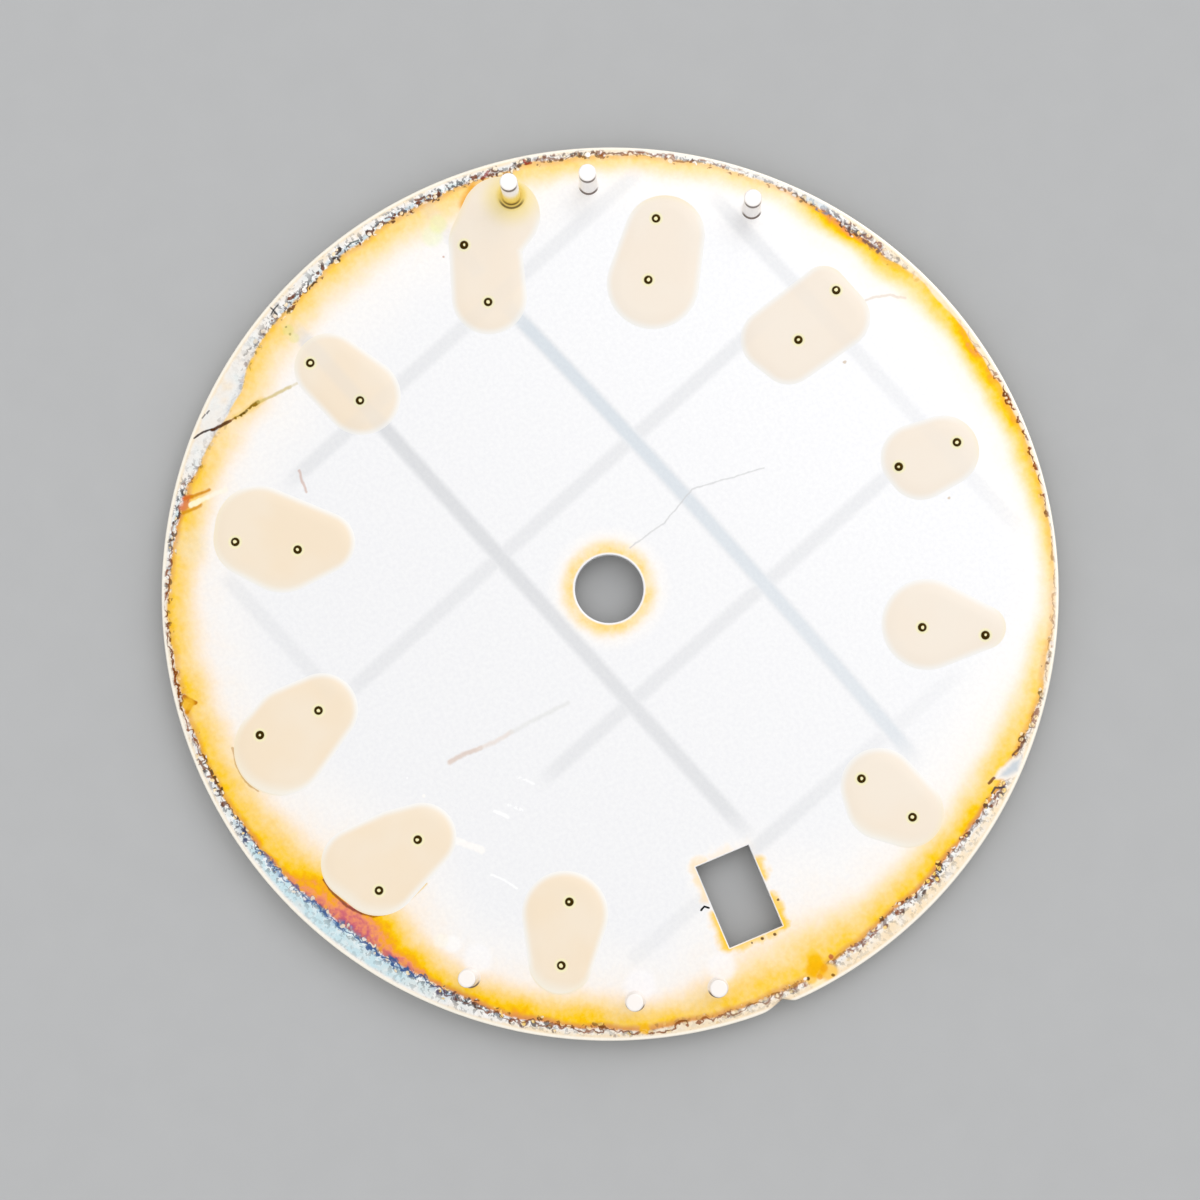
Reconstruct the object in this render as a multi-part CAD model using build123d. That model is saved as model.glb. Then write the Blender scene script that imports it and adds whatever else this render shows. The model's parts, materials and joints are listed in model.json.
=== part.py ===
"""A watch dial with applied hour markers, modelled piece by piece, in millimetres.

The back of the dial lies in the plane z = 0 with its dial feet standing up along +Z.
The axis of the hands is the Z axis, 12 o'clock lies along +Y, and seen from the back
the hours run anticlockwise, so that 3 o'clock lies along -X.
"""
from build123d import *
import math
import os

os.makedirs("parts", exist_ok=True)

# Blank: the plated brass disc, the hole for the hands and the date window
dial_d = 28.5
plate_t = 0.40
plate_edge_break = 0.05
centre_hole_d = 2.17
window_length = 2.74
window_width = 1.80
window_rim_gap = 2.33
window_hour = 3

# Locating notch in the rim at 3 o'clock, with one long and one short side
notch_depth = 0.21
notch_long_run = 0.60
notch_short_run = 0.34
notch_shoulder_r = 0.60
notch_root_r = 0.05
notch_cutter_reach_share = 2.0

# Applied hour markers: faceted batons with two feet each
marker_width = 0.90
marker_width_at_12 = 1.50
marker_t = 0.45
marker_bevel = 0.20
marker_end_margin = 0.70
marker_foot_d = 0.28
marker_foot_pitch = 2.006
marker_foot_rim_gap = 2.263
marker_foot_proud = 0.15
marker_foot_tip_r = 0.05
marker_foot_clearance = 0.03

# Face coat of lacquer and the minute track printed on it
coat_t = 0.05
coat_clearance = 0.02
track_t = 0.02
track_rim_gap = 0.45
tick_length = 0.55
tick_width = 0.10
hour_tick_width = 0.22
minutes = 60
minutes_per_hour = 5

# Dial feet: three pairs of posts welded to the back near the rim
dial_foot_d = 0.56
dial_foot_length = 1.90
dial_foot_rim_gap = 1.22
dial_foot_tip_break = 0.05
weld_flare_d = 0.66
weld_flare_h = 0.08
dial_foot_degrees = (82.4, 70.8, 47.6, 261.1, 250.1, 226.7)
dial_foot_length_shares = (1.0, 1.0, 1.0, 1.2, 1.0, 0.95)

# Adhesive dabs over the markers' feet
dab_t = 0.12
dab_round = 0.09
meniscus_d = 0.84
meniscus_h = 0.20

# Each dab is the skin stretched round a few circles, as shares of half the pitch of the
# feet that it covers: outwards from the middle of the marker, sideways towards the hour
# before, and radius.
# Where there are two groups, two drops have run together.
dab_circle_shares = {
    1: [[(-1.15, -0.05, 1.08), (-0.35, 0.30, 1.30), (0.60, 0.35, 1.32), (0.75, 1.05, 1.16)]],
    2: [[(-0.60, 0.09, 1.36), (0.90, 0.03, 1.02)]],
    4: [[(-0.40, -0.15, 1.22), (0.00, 0.15, 1.22), (0.80, -0.05, 1.12)]],
    5: [[(-0.85, -0.12, 1.44), (0.93, -0.25, 0.70)]],
    6: [[(0.50, 0.08, 1.14), (-0.35, 0.25, 1.07), (-0.40, -0.05, 1.10)]],
    7: [[(0.82, -0.35, 0.74), (0.35, 0.57, 1.02), (-1.45, -0.65, 1.04), (-1.55, 0.03, 0.96)]],
    8: [[(0.52, 0.33, 1.29), (-1.08, 0.16, 1.47)]],
    9: [[(1.45, 1.45, 1.26), (0.85, 0.65, 1.16)], [(0.85, 0.65, 1.16), (-0.85, 0.10, 1.20)]],
    10: [[(0.45, 0.25, 1.11), (-0.95, 0.15, 1.24)]],
    11: [[(0.35, 0.52, 1.38), (0.45, 0.20, 1.28), (-0.50, 0.10, 1.52), (-1.80, 0.34, 0.98)]],
    12: [[(-1.10, 0.00, 1.15), (0.00, -0.15, 1.30), (0.57, -0.65, 1.48)]],
}

# Worked out from the sizes above: each dab covers one marker's feet, so the markers
# stand at the dabs' hours, and the window takes the place of the one at 3
marker_hours = tuple(dab_circle_shares)
degrees_per_hour = 30
dial_r = dial_d / 2
outer_foot_r = dial_r - marker_foot_rim_gap
inner_foot_r = outer_foot_r - marker_foot_pitch
marker_mid_r = (outer_foot_r + inner_foot_r) / 2
marker_length = marker_foot_pitch + 2 * marker_end_margin
dab_reach = marker_foot_pitch / 2
window_mid_r = dial_r - window_rim_gap - window_length / 2
dial_foot_circle_r = dial_r - dial_foot_rim_gap
dial_foot_numbers = range(1, len(dial_foot_degrees) + 1)
coat_front_z = -plate_t - coat_t
upright = (Align.CENTER, Align.CENTER, Align.MIN)
hanging = (Align.CENTER, Align.CENTER, Align.MAX)


def at_hour(hour):
    """Turn what is drawn at 12 o'clock to its hour."""
    return Rot(0, 0, degrees_per_hour * hour)


def nearest_corner(sketch, x, y):
    return sketch.vertices().sort_by_distance((x, y, 0))[0]


def notch_sketch(radius):
    """The wedge that is cut from the rim at 3 o'clock."""
    reach = notch_cutter_reach_share
    root_x = -(radius - notch_depth)
    corners = [(root_x, 0)]
    for run in (notch_long_run, -notch_short_run):
        shoulder_x = -math.sqrt(radius**2 - run**2)
        corners.append((root_x + reach * (shoulder_x - root_x), reach * run))
    return make_face(Polyline(*corners, close=True))


def rim_sketch(radius):
    """The round outline of the dial with its notch, whose corners are rounded."""
    outline = Circle(radius) - notch_sketch(radius)
    root = nearest_corner(outline, -(radius - notch_depth), 0)
    outline = fillet(root, notch_root_r)
    for run in (notch_long_run, -notch_short_run):
        shoulder = nearest_corner(outline, -math.sqrt(radius**2 - run**2), run)
        outline = fillet(shoulder, notch_shoulder_r)
    return outline


def openings_sketch(clearance):
    """The centre hole, the date window and the holes for the markers' feet."""
    holes = Circle(centre_hole_d / 2 + clearance)
    window = Rectangle(window_width + 2 * clearance, window_length + 2 * clearance)
    holes += at_hour(window_hour) * Pos(0, window_mid_r) * window
    foot_hole = Circle(marker_foot_d / 2 + marker_foot_clearance + clearance)
    for hour in marker_hours:
        for foot_r in (inner_foot_r, outer_foot_r):
            holes += at_hour(hour) * Pos(0, foot_r) * foot_hole
    return holes


def dial_plate():
    """The blank, with its back at z = 0 and its sharp rim broken on both faces."""
    blank = extrude(rim_sketch(dial_r), -plate_t)
    faces = blank.faces().filter_by(Axis.Z)
    rim_edges = [edge for face in faces for edge in face.outer_wire().edges()]
    blank = chamfer(rim_edges, plate_edge_break)
    return blank - extrude(openings_sketch(0), -plate_t)


def face_coat():
    """The lacquer on the front, kept just inside every edge of the blank."""
    sheet = rim_sketch(dial_r - plate_edge_break) - openings_sketch(coat_clearance)
    return Pos(0, 0, -plate_t) * extrude(sheet, -coat_t)


def minute_track():
    """Sixty printed ticks on the lacquer, wider at each hour."""
    ticks = []
    tick_mid_r = dial_r - track_rim_gap - tick_length / 2
    for minute in range(minutes):
        on_hour = minute % minutes_per_hour == 0
        width = hour_tick_width if on_hour else tick_width
        tick = Box(width, tick_length, track_t, align=hanging)
        turn = at_hour(minute / minutes_per_hour)
        ticks.append(turn * Pos(0, tick_mid_r, coat_front_z) * tick)
    return Compound(ticks)


def hour_marker(hour):
    """A faceted baton on the front, with two feet through the plate."""
    width = marker_width_at_12 if hour == 12 else marker_width
    baton = Box(width, marker_length, marker_t, align=hanging)
    baton = chamfer(baton.faces().sort_by(Axis.Z)[0].edges(), marker_bevel)
    marker = Pos(0, marker_mid_r, coat_front_z) * baton
    foot_length = marker_foot_proud - coat_front_z
    foot = Cylinder(marker_foot_d / 2, foot_length, align=upright)
    foot = fillet(foot.faces().sort_by(Axis.Z)[-1].edges(), marker_foot_tip_r)
    for foot_r in (inner_foot_r, outer_foot_r):
        marker += Pos(0, foot_r, coat_front_z) * foot
    return at_hour(hour) * marker


def dab_outline(hour):
    """The outline of one dab, drawn as if at 12 o'clock."""
    outline = None
    for group in dab_circle_shares[hour]:
        circles = []
        for out_share, side_share, r_share in group:
            place = Pos(dab_reach * side_share, marker_mid_r + dab_reach * out_share)
            circles += (place * Circle(dab_reach * r_share)).edges()
        drop = make_hull(circles)
        outline = drop if outline is None else outline + drop
    return outline


def adhesive_dab(hour):
    """A low round-edged drop of glue that the marker's feet come up through."""
    dab = extrude(dab_outline(hour), dab_t)
    dab = fillet(dab.faces().sort_by(Axis.Z)[-1].outer_wire().edges(), dab_round)
    foot_hole = Cylinder(marker_foot_d / 2, dab_t, align=upright)
    for foot_r in (inner_foot_r, outer_foot_r):
        dab -= Pos(0, foot_r) * foot_hole
    return with_meniscus(at_hour(hour) * dab)


def with_meniscus(dab):
    """Where a dial foot stands in a dab, the glue has crept up round it in a collar."""
    for number in dial_foot_numbers:
        place = dial_foot_place(number)
        if dab.is_inside((place * Pos(0, 0, dab_t / 2)).position):
            collar = Cone(meniscus_d / 2, dial_foot_d / 2, meniscus_h, align=upright)
            dab += place * Pos(0, 0, dab_t) * collar
            dab -= place * dial_foot_body(dab_t + meniscus_h)
    return dab


def dial_foot_place(number):
    """Where a dial foot stands on the back, counted from 1."""
    return Rot(0, 0, dial_foot_degrees[number - 1]) * Pos(0, dial_foot_circle_r)


def dial_foot_body(length):
    """A plain post of the given length, with its weld flare at the foot."""
    post = Cylinder(dial_foot_d / 2, length, align=upright)
    return post + Cone(weld_flare_d / 2, dial_foot_d / 2, weld_flare_h, align=upright)


def dial_foot(number):
    """One dial foot, with the sharp edge of its tip broken."""
    post = dial_foot_body(dial_foot_length * dial_foot_length_shares[number - 1])
    tip = post.faces().sort_by(Axis.Z)[-1]
    return dial_foot_place(number) * chamfer(tip.edges(), dial_foot_tip_break)


def write(name, piece):
    export_step(piece, f"parts/{name}.step")
    print(name, "volume", round(piece.volume, 4), "mm3")


write("dial_plate", dial_plate())
write("face_coat", face_coat())
write("minute_track", minute_track())
for hour in marker_hours:
    write(f"hour_marker_{hour:02d}", hour_marker(hour))
    write(f"adhesive_dab_{hour:02d}", adhesive_dab(hour))
for number in dial_foot_numbers:
    write(f"dial_foot_{number}", dial_foot(number))
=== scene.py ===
# %% [markdown]
# # A watch dial, seen from the back
#
# This notebook dresses a watch dial that lies face down. The construction is already there
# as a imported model: a thin plated disc, a lacquered face, eleven applied hour markers, the
# dabs of glue over the markers' feet, and six posts that hold the dial in its movement.
# We load that model first and read our sizes from it, so that nothing has to be fitted.

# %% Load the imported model
import json
import math

import bmesh
import bpy
from mathutils import Matrix, Vector


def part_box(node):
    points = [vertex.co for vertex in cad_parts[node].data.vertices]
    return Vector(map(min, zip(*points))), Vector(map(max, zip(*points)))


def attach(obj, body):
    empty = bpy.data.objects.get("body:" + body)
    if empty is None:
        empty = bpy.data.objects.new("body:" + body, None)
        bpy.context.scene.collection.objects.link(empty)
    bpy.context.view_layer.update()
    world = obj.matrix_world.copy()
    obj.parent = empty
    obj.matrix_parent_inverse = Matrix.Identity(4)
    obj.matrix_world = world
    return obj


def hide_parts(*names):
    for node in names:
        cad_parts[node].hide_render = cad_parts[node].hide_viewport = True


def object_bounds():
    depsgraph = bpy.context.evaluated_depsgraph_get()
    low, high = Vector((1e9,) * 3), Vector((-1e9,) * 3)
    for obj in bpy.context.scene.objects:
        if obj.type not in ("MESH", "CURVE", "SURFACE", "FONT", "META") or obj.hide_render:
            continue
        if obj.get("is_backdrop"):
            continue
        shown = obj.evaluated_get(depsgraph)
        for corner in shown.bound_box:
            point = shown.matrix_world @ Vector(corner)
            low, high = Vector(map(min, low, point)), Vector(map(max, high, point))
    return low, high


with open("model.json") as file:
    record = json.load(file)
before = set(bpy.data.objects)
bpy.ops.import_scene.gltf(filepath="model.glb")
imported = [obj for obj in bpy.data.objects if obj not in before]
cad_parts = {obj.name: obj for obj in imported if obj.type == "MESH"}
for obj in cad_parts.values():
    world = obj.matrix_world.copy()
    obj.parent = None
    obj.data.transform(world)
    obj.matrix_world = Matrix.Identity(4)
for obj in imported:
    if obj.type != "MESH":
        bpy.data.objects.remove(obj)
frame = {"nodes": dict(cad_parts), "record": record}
cad_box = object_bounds()
print("nodes in the frame:", len(frame["nodes"]))

# %% [markdown]
# ## Sizes
#
# Everything on a dial is small, and Blender works in metres, so a marker's foot would be
# 0.00028 across. Such numbers are hard to read, and some mesh operators treat points that
# close as one. We therefore draw every piece in millimetres and scale it once, at the end.
# The posts and the hole come from the record, the rest from the boxes of the nodes.

# %% Read the sizes in millimetres
MM = 0.001
HOUR_STEP = math.radians(30)
MARKER_HOURS = [hour for hour in range(1, 13) if hour != 3]
POSTS = range(1, 7)


def box_mm(node):
    """The lowest and highest corner of a node, in millimetres."""
    low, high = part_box(node)
    return low / MM, high / MM


mounts = {mount["name"]: mount for mount in frame["record"]["mounts"]}
plate_low, plate_high = box_mm("dial_plate")
coat_low, coat_high = box_mm("face_coat")
DIAL_R = plate_high.x
PLATE_T = -plate_low.z
FACE_Z = coat_low.z
HOLE_R = mounts["centre_hole"]["dims"]["r_mm"]
POST_R = mounts["dial_foot_1"]["dims"]["r_mm"]
post_places = {n: Vector(mounts[f"dial_foot_{n}"]["pos_m"][:2]) / MM for n in POSTS}
post_tops = {n: box_mm(f"dial_foot_{n}")[1].z for n in POSTS}
print("dial radius", round(DIAL_R, 3), "plate", round(PLATE_T, 3), "hole radius", HOLE_R)

# %% [markdown]
# A few sizes can't be read off a box, because they lie inside a node. They are the same
# values that the construction uses: the window, the notch and the places of the feet.

# %% Sizes that no box shows
WINDOW = Vector((2.74, 1.80))
WINDOW_MID = Vector((-10.55, 0.0))
MARKER_FOOT_R = 0.14
FOOT_HOLE_R = 0.17
FOOT_RADII = (9.981, 11.987)
MARKER_MID_R = sum(FOOT_RADII) / 2
EDGE_BREAK = 0.05
NOTCH_DEPTH = 0.21
NOTCH_RUNS = {1: 0.60, -1: 0.34}

# %% [markdown]
# ## The camera comes first
#
# Marks on the back, such as a scratch, are placed where the photograph shows them. A pixel
# is turned into a place by sending a ray from the camera through it and meeting the back
# of the dial. So the camera is made first, nearly straight above the dial, and tilted by a
# few degrees. The photograph is 1200 pixels wide, and its up direction is turned against
# the dial's own axes, whose +Y is 12 o'clock.

# %% Make the camera
PICTURE = 1200
FOCAL_PIXELS = 3481.9
CAMERA_MM = Vector((1.723, -10.414, 110.0))
TILT_X = math.radians(5.222)
TILT_Y = math.radians(1.049)
PICTURE_TURN = math.radians(112.788)

camera_data = bpy.data.cameras.new("camera")
camera_data.sensor_width = 36
camera_data.lens = camera_data.sensor_width * FOCAL_PIXELS / PICTURE
camera_data.clip_start = 0.01
camera = bpy.data.objects.new("camera", camera_data)
bpy.context.scene.collection.objects.link(camera)
tilt = Matrix.Rotation(TILT_Y, 4, "Y") @ Matrix.Rotation(TILT_X, 4, "X")
turn = Matrix.Rotation(-PICTURE_TURN, 4, "Z")
camera.matrix_world = turn @ Matrix.Translation(CAMERA_MM * MM) @ tilt
bpy.context.scene.camera = camera
print("camera at", [round(c / MM, 1) for c in camera.matrix_world.translation], "mm")


def seen_at(px, py):
    """The place on the back, in millimetres, that a pixel of the photograph shows."""
    eye = camera.matrix_world.translation / MM
    ray = Vector((px - PICTURE / 2, PICTURE / 2 - py, -FOCAL_PIXELS))
    ray.rotate(camera.matrix_world.to_quaternion())
    place = eye - ray * (eye.z / ray.z)
    return Vector((place.x, place.y, 0))


print("the middle of the hole is seen at", seen_at(609.7, 588.3).to_tuple(2))

# %% [markdown]
# ## Mesh helpers
#
# Most pieces here are turned or stamped, so they are a closed loop of edges that is carried
# along a profile: each step extrudes the loop, grows it about its middle and sets its
# height. The same helper makes the rim, the holes, the posts and the markers' feet.

# %% Carry a loop of edges along a profile
def extrude_loop(bm, loop):
    """Extrude a loop of edges, and give the new loop and its vertices."""
    made = bmesh.ops.extrude_edge_only(bm, edges=loop)["geom"]
    verts = {part for part in made if isinstance(part, bmesh.types.BMVert)}
    edges = [part for part in made if isinstance(part, bmesh.types.BMEdge)]
    return [edge for edge in edges if set(edge.verts) <= verts], verts


def make_circle(bm, radius, middle=(0, 0), height=0.0, segments=64, cap=False):
    """A loop of edges round a point, with a face across it where cap is true."""
    place = Matrix.Translation((*middle, height))
    made = bmesh.ops.create_circle(
        bm, cap_ends=cap, segments=segments, radius=radius, matrix=place)["verts"]
    return list({edge for vert in made for edge in vert.link_edges})


def carry_loop(bm, loop, middle, half, profile):
    """Extrude a loop along (growth, height) steps. Growth is measured from its half size."""
    to_middle = Matrix.Translation((-middle[0], -middle[1], 0))
    before = 0.0
    for growth, height in profile:
        loop, verts = extrude_loop(bm, loop)
        grow = [(size + growth) / (size + before) for size in half]
        bmesh.ops.scale(bm, vec=(*grow, 1), space=to_middle, verts=list(verts))
        for vert in verts:
            vert.co.z = height
        before = growth
    return loop


def keep_sharp(edges):
    """Stop the shading from running smoothly over these edges."""
    for edge in edges:
        edge.smooth = False


# %% [markdown]
# Every finished mesh goes through one function. It merges doubles, turns the faces
# outwards, marks the sharp edges, scales from millimetres to metres and hides the node
# that the piece stands in for. The object itself stays at the origin, unturned.

# %% Finish a piece
MERGE_WITHIN = 1e-5
SHARP = math.radians(28)


def as_piece(bm, name, node, material):
    """Make an object of a mesh drawn in millimetres, in place of a node of the frame."""
    bmesh.ops.remove_doubles(bm, verts=bm.verts, dist=MERGE_WITHIN)
    bmesh.ops.recalc_face_normals(bm, faces=bm.faces)
    for face in bm.faces:
        face.smooth = True
    keep_sharp(edge for edge in bm.edges if edge.calc_face_angle(0) > SHARP)
    bmesh.ops.scale(bm, vec=(MM, MM, MM), verts=bm.verts)
    mesh = bpy.data.meshes.new(name)
    bm.to_mesh(mesh)
    bm.free()
    mesh.materials.append(material)
    piece = bpy.data.objects.new(name, mesh)
    bpy.context.scene.collection.objects.link(piece)
    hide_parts(node)
    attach(piece, "root")
    return piece


# %% [markdown]
# ## Material helpers
#
# The finishes are built from nodes. A short wrapper keeps each node on one line: a value
# that is itself a socket is linked, and any other value is typed into the socket. Colours
# are given as a screen shows them, from 0 to 255, and changed to Blender's linear ones.

# %% A wrapper for building finishes
def shown(red, green, blue):
    """A colour as a screen shows it, made linear for Blender."""
    levels = [level / 255 for level in (red, green, blue)]
    return *(c / 12.92 if c <= 0.04045 else ((c + 0.055) / 1.055) ** 2.4 for c in levels), 1.0


class Finish:
    """A material under construction, with short calls for the nodes that it uses most."""

    def __init__(self, name):
        self.material = bpy.data.materials.new(name)
        self.material.use_nodes = True
        self.nodes = self.material.node_tree.nodes
        self.links = self.material.node_tree.links
        self.shader = self.nodes["Principled BSDF"]

    def plug(self, socket, value):
        if isinstance(value, bpy.types.NodeSocket):
            self.links.new(value, socket)
        else:
            socket.default_value = value

    def node(self, kind, inputs=(), **settings):
        node = self.nodes.new("ShaderNode" + kind)
        for name, value in settings.items():
            setattr(node, name, value)
        for socket, value in dict(inputs).items():
            self.plug(node.inputs[socket], value)
        return node

    def shade(self, **sockets):
        """Set sockets of the shader: an underscore stands for a space in its name."""
        for name, value in sockets.items():
            self.plug(self.shader.inputs[name.replace("_", " ")], value)

    def calc(self, operation, *values):
        return self.node("Math", dict(enumerate(values)), operation=operation).outputs[0]

    def vector(self, operation, *values):
        node = self.node("VectorMath", dict(enumerate(values)), operation=operation)
        scalar = operation in ("LENGTH", "DISTANCE", "DOT_PRODUCT")
        return node.outputs["Value" if scalar else "Vector"]

    def fade(self, value, start, end, low=0.0, high=1.0):
        """Go smoothly from low to high while value goes from start to end."""
        sockets = {
            "Value": value, "From Min": start, "From Max": end, "To Min": low, "To Max": high}
        return self.node("MapRange", sockets, interpolation_type="SMOOTHSTEP").outputs[0]

    def mix(self, share, first, second, blend="MIX"):
        """Mix two colours. The second shows where share is 1."""
        node = self.node("Mix", {0: share, 6: first, 7: second}, data_type="RGBA", blend_type=blend)
        return node.outputs[2]

    def noise(self, place, scale, detail=2.0, roughness=0.5):
        sockets = {"Vector": place, "Scale": scale, "Detail": detail, "Roughness": roughness}
        return self.node("TexNoise", sockets).outputs[0]

    def grains(self, place, scale, low, high):
        """Small separate grains: noise that is cut off at a threshold."""
        return self.fade(self.noise(place, scale, 2.5, 0.6), low, high)

    def ramp(self, value, stops):
        """A colour ramp through (position, colour) stops."""
        node = self.node("ValToRGB", {0: value})
        elements = node.color_ramp.elements
        for index, (position, colour) in enumerate(stops):
            element = elements[index] if index < 2 else elements.new(position)
            element.position = position
            element.color = colour
        return node.outputs[0]

    def place(self):
        """The place on the piece in millimetres, from its own coordinates."""
        own = self.node("TexCoord").outputs["Object"]
        return self.node("Mapping", {"Vector": own, "Scale": (1 / MM,) * 3}).outputs[0]

    def bump(self, height, distance, strength=1.0):
        sockets = {"Height": height, "Distance": distance * MM, "Strength": strength}
        self.shade(Normal=self.node("Bump", sockets).outputs[0])


# %% [markdown]
# ## The plating and its tarnish
#
# The back of the disc is silver-white plating, blasted to a fine satin. Tarnish is a thin
# film that grows in from every edge, and it takes its colour from its thickness, as a soap
# film does: cream, amber, orange, then magenta, blue and a pale silvery cyan. One ramp
# from thickness to colour therefore serves the rim, the hole and the window alike.

# %% The colours of the film, from thin to thick
FILM_MOST = 1.5
FILM_COLOURS = [
    (0.00, shown(243, 243, 244)), (0.05, shown(248, 246, 244)), (0.12, shown(252, 243, 233)),
    (0.24, shown(254, 234, 206)), (0.36, shown(254, 227, 174)), (0.50, shown(254, 216, 129)),
    (0.60, shown(254, 210, 82)), (0.68, shown(254, 204, 24)), (0.76, shown(250, 186, 20)),
    (0.84, shown(247, 168, 50)), (0.90, shown(248, 162, 98)), (0.97, shown(234, 140, 114)),
    (1.05, shown(214, 112, 120)), (1.13, shown(188, 88, 124)), (1.21, shown(144, 102, 158)),
    (1.33, shown(150, 184, 208)), (1.50, shown(204, 230, 234)),
]

# %% [markdown]
# How the tarnish looks changes round the rim. Each line of these two tables describes one
# direction, clockwise from the picture's up, and was set by comparing a render with the
# photograph, by how light both are at a few depths. The first says how wide the
# bare edge is, how thick the film is behind it and how far it reaches. The second says,
# from 0 to 1, how blue the bare edge looks and how flecked it is, and how the line between
# edge and film looks: how blistered, how much of a dark hairline, and how burnt behind it.
# A colour ramp can hold such a table: the direction is its position, and three columns are
# its red, green and blue. It holds values from 0 to 1, so widths are shares of the widest.

# %% The tarnish round the rim
RIM_FILM = [
    # direction, edge mm, film, reach mm
    (0, 0.22, 0.48, 0.95), (25, 0.26, 0.34, 0.90), (30, 0.30, 0.84, 0.85),
    (35, 0.38, 0.80, 0.75), (40, 0.40, 0.68, 0.90), (46, 0.28, 0.52, 0.90),
    (56, 0.28, 0.84, 0.80), (74, 0.20, 0.60, 0.90), (82, 0.15, 0.56, 0.70),
    (90, 0.16, 0.32, 0.70), (104, 0.24, 0.56, 1.20), (116, 0.44, 0.66, 1.35),
    (128, 0.60, 0.66, 1.40), (140, 0.66, 0.62, 1.50), (151, 0.52, 0.60, 2.35),
    (161, 0.40, 0.56, 2.20), (172, 0.34, 0.60, 1.20), (184, 0.38, 0.66, 1.55),
    (193, 0.46, 0.74, 1.30), (201, 0.58, 0.66, 1.20), (209, 0.68, 0.84, 1.65),
    (216, 0.76, 1.01, 2.10), (223, 0.64, 0.93, 1.90), (230, 0.54, 0.67, 1.80),
    (244, 0.34, 0.64, 1.60), (268, 0.22, 0.55, 1.30), (284, 0.42, 0.60, 1.35),
    (293, 0.82, 0.38, 1.35), (298, 0.86, 0.46, 1.50), (302, 0.60, 0.52, 1.50),
    (338, 0.44, 0.48, 1.45), (358, 0.22, 0.48, 0.95),
]
RIM_LOOKS = [
    # direction, blue, fleck, blister, hairline, burnt
    (0, 0.0, 0.2, 0.8, 0.8, 0.4), (12, 0.0, 0.6, 0.9, 0.6, 0.3),
    (20, 0.1, 0.5, 0.6, 0.1, 0.2), (27, 0.1, 0.4, 0.7, 0.1, 0.7),
    (31, 0.0, 0.7, 0.9, 0.2, 0.8), (38, 0.0, 0.5, 0.8, 0.3, 0.6),
    (43, 0.0, 0.1, 0.3, 0.0, 0.2), (48, 0.0, 0.0, 0.0, 0.0, 0.0),
    (59, 0.0, 0.0, 0.0, 0.4, 0.1), (63, 0.0, 0.0, 0.1, 1.0, 0.4),
    (78, 0.0, 0.0, 0.15, 1.0, 0.3), (88, 0.0, 0.0, 0.05, 0.4, 0.2),
    (100, 0.0, 0.1, 0.7, 0.4, 0.4), (110, 0.1, 0.3, 0.9, 0.5, 0.6),
    (120, 0.10, 0.5, 0.9, 0.5, 1.0), (135, 0.10, 0.6, 1.0, 0.5, 1.0),
    (150, 0.05, 0.4, 0.7, 0.4, 0.6), (170, 0.0, 0.1, 0.25, 0.9, 0.9),
    (190, 0.2, 0.5, 0.9, 0.8, 1.0), (200, 0.5, 0.9, 0.9, 0.8, 1.0),
    (209, 0.95, 0.6, 0.8, 1.0, 0.5), (225, 1.0, 0.5, 0.7, 0.8, 0.3),
    (234, 0.75, 1.0, 0.9, 0.6, 0.7), (244, 0.3, 0.6, 1.0, 0.8, 0.6),
    (256, 0.1, 0.2, 0.3, 1.0, 0.5), (268, 0.1, 0.2, 0.7, 1.0, 0.3),
    (281, 0.3, 1.0, 0.9, 0.5, 1.0), (290, 0.36, 0.05, 0.2, 0.1, 0.1),
    (299, 0.40, 0.1, 0.3, 0.1, 0.1), (312, 0.34, 0.85, 1.0, 0.2, 0.4),
    (338, 0.38, 0.90, 1.0, 0.3, 0.5), (358, 0.0, 0.2, 0.8, 0.8, 0.4),
]
WIDEST = 2.5
FULL_TURN = 360


def round_the_rim(table, pick):
    """Ramp stops whose red, green and blue hold three columns of a table."""
    return [(row[0] / FULL_TURN, (*pick(row), 1.0)) for row in table]


film_stops = round_the_rim(
    RIM_FILM, lambda row: (row[1] / WIDEST, row[2] / FILM_MOST, row[3] / WIDEST))
edge_stops = round_the_rim(RIM_LOOKS, lambda row: row[1:4])
line_stops = round_the_rim(RIM_LOOKS, lambda row: (*row[4:6], 0.0))
print("tarnish is set in", len(RIM_FILM), "directions")

# %% [markdown]
# The plating is the longest finish, so it is made in steps. Each step is a function that
# adds its nodes and hands back what the next ones need. The first two give the place on
# the dial, and the direction as a share of a full turn, which the ramps are read with.

# %% Where a point lies on the dial
def flat(finish, place):
    """The place with its height taken out, so that patterns run straight down the edges."""
    return finish.vector("MULTIPLY", place, (1, 1, 0))


def direction_share(finish, place):
    """The direction from the middle, clockwise from the picture's up, from 0 to 1."""
    turned = finish.node("Mapping", {"Vector": place, "Rotation": (0, 0, PICTURE_TURN)}).outputs[0]
    axes = finish.node("SeparateXYZ", {0: turned}).outputs
    angle = finish.calc("ARCTAN2", axes["X"], axes["Y"])
    return finish.calc("FRACT", finish.calc("DIVIDE", angle, math.tau))


def channels(finish, colour):
    return finish.node("SeparateColor", {0: colour}).outputs[:3]


# %% [markdown]
# Tarnish never has a clean border. The depth from the rim is shifted a little by noise, and
# everything that follows is measured with that uneven depth. Behind its line the film runs
# out gently, and a faint tail of it goes on for more than twice as far. Under the blue
# part it is thickest close to the line and mottled, so there it rises once more.

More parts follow.
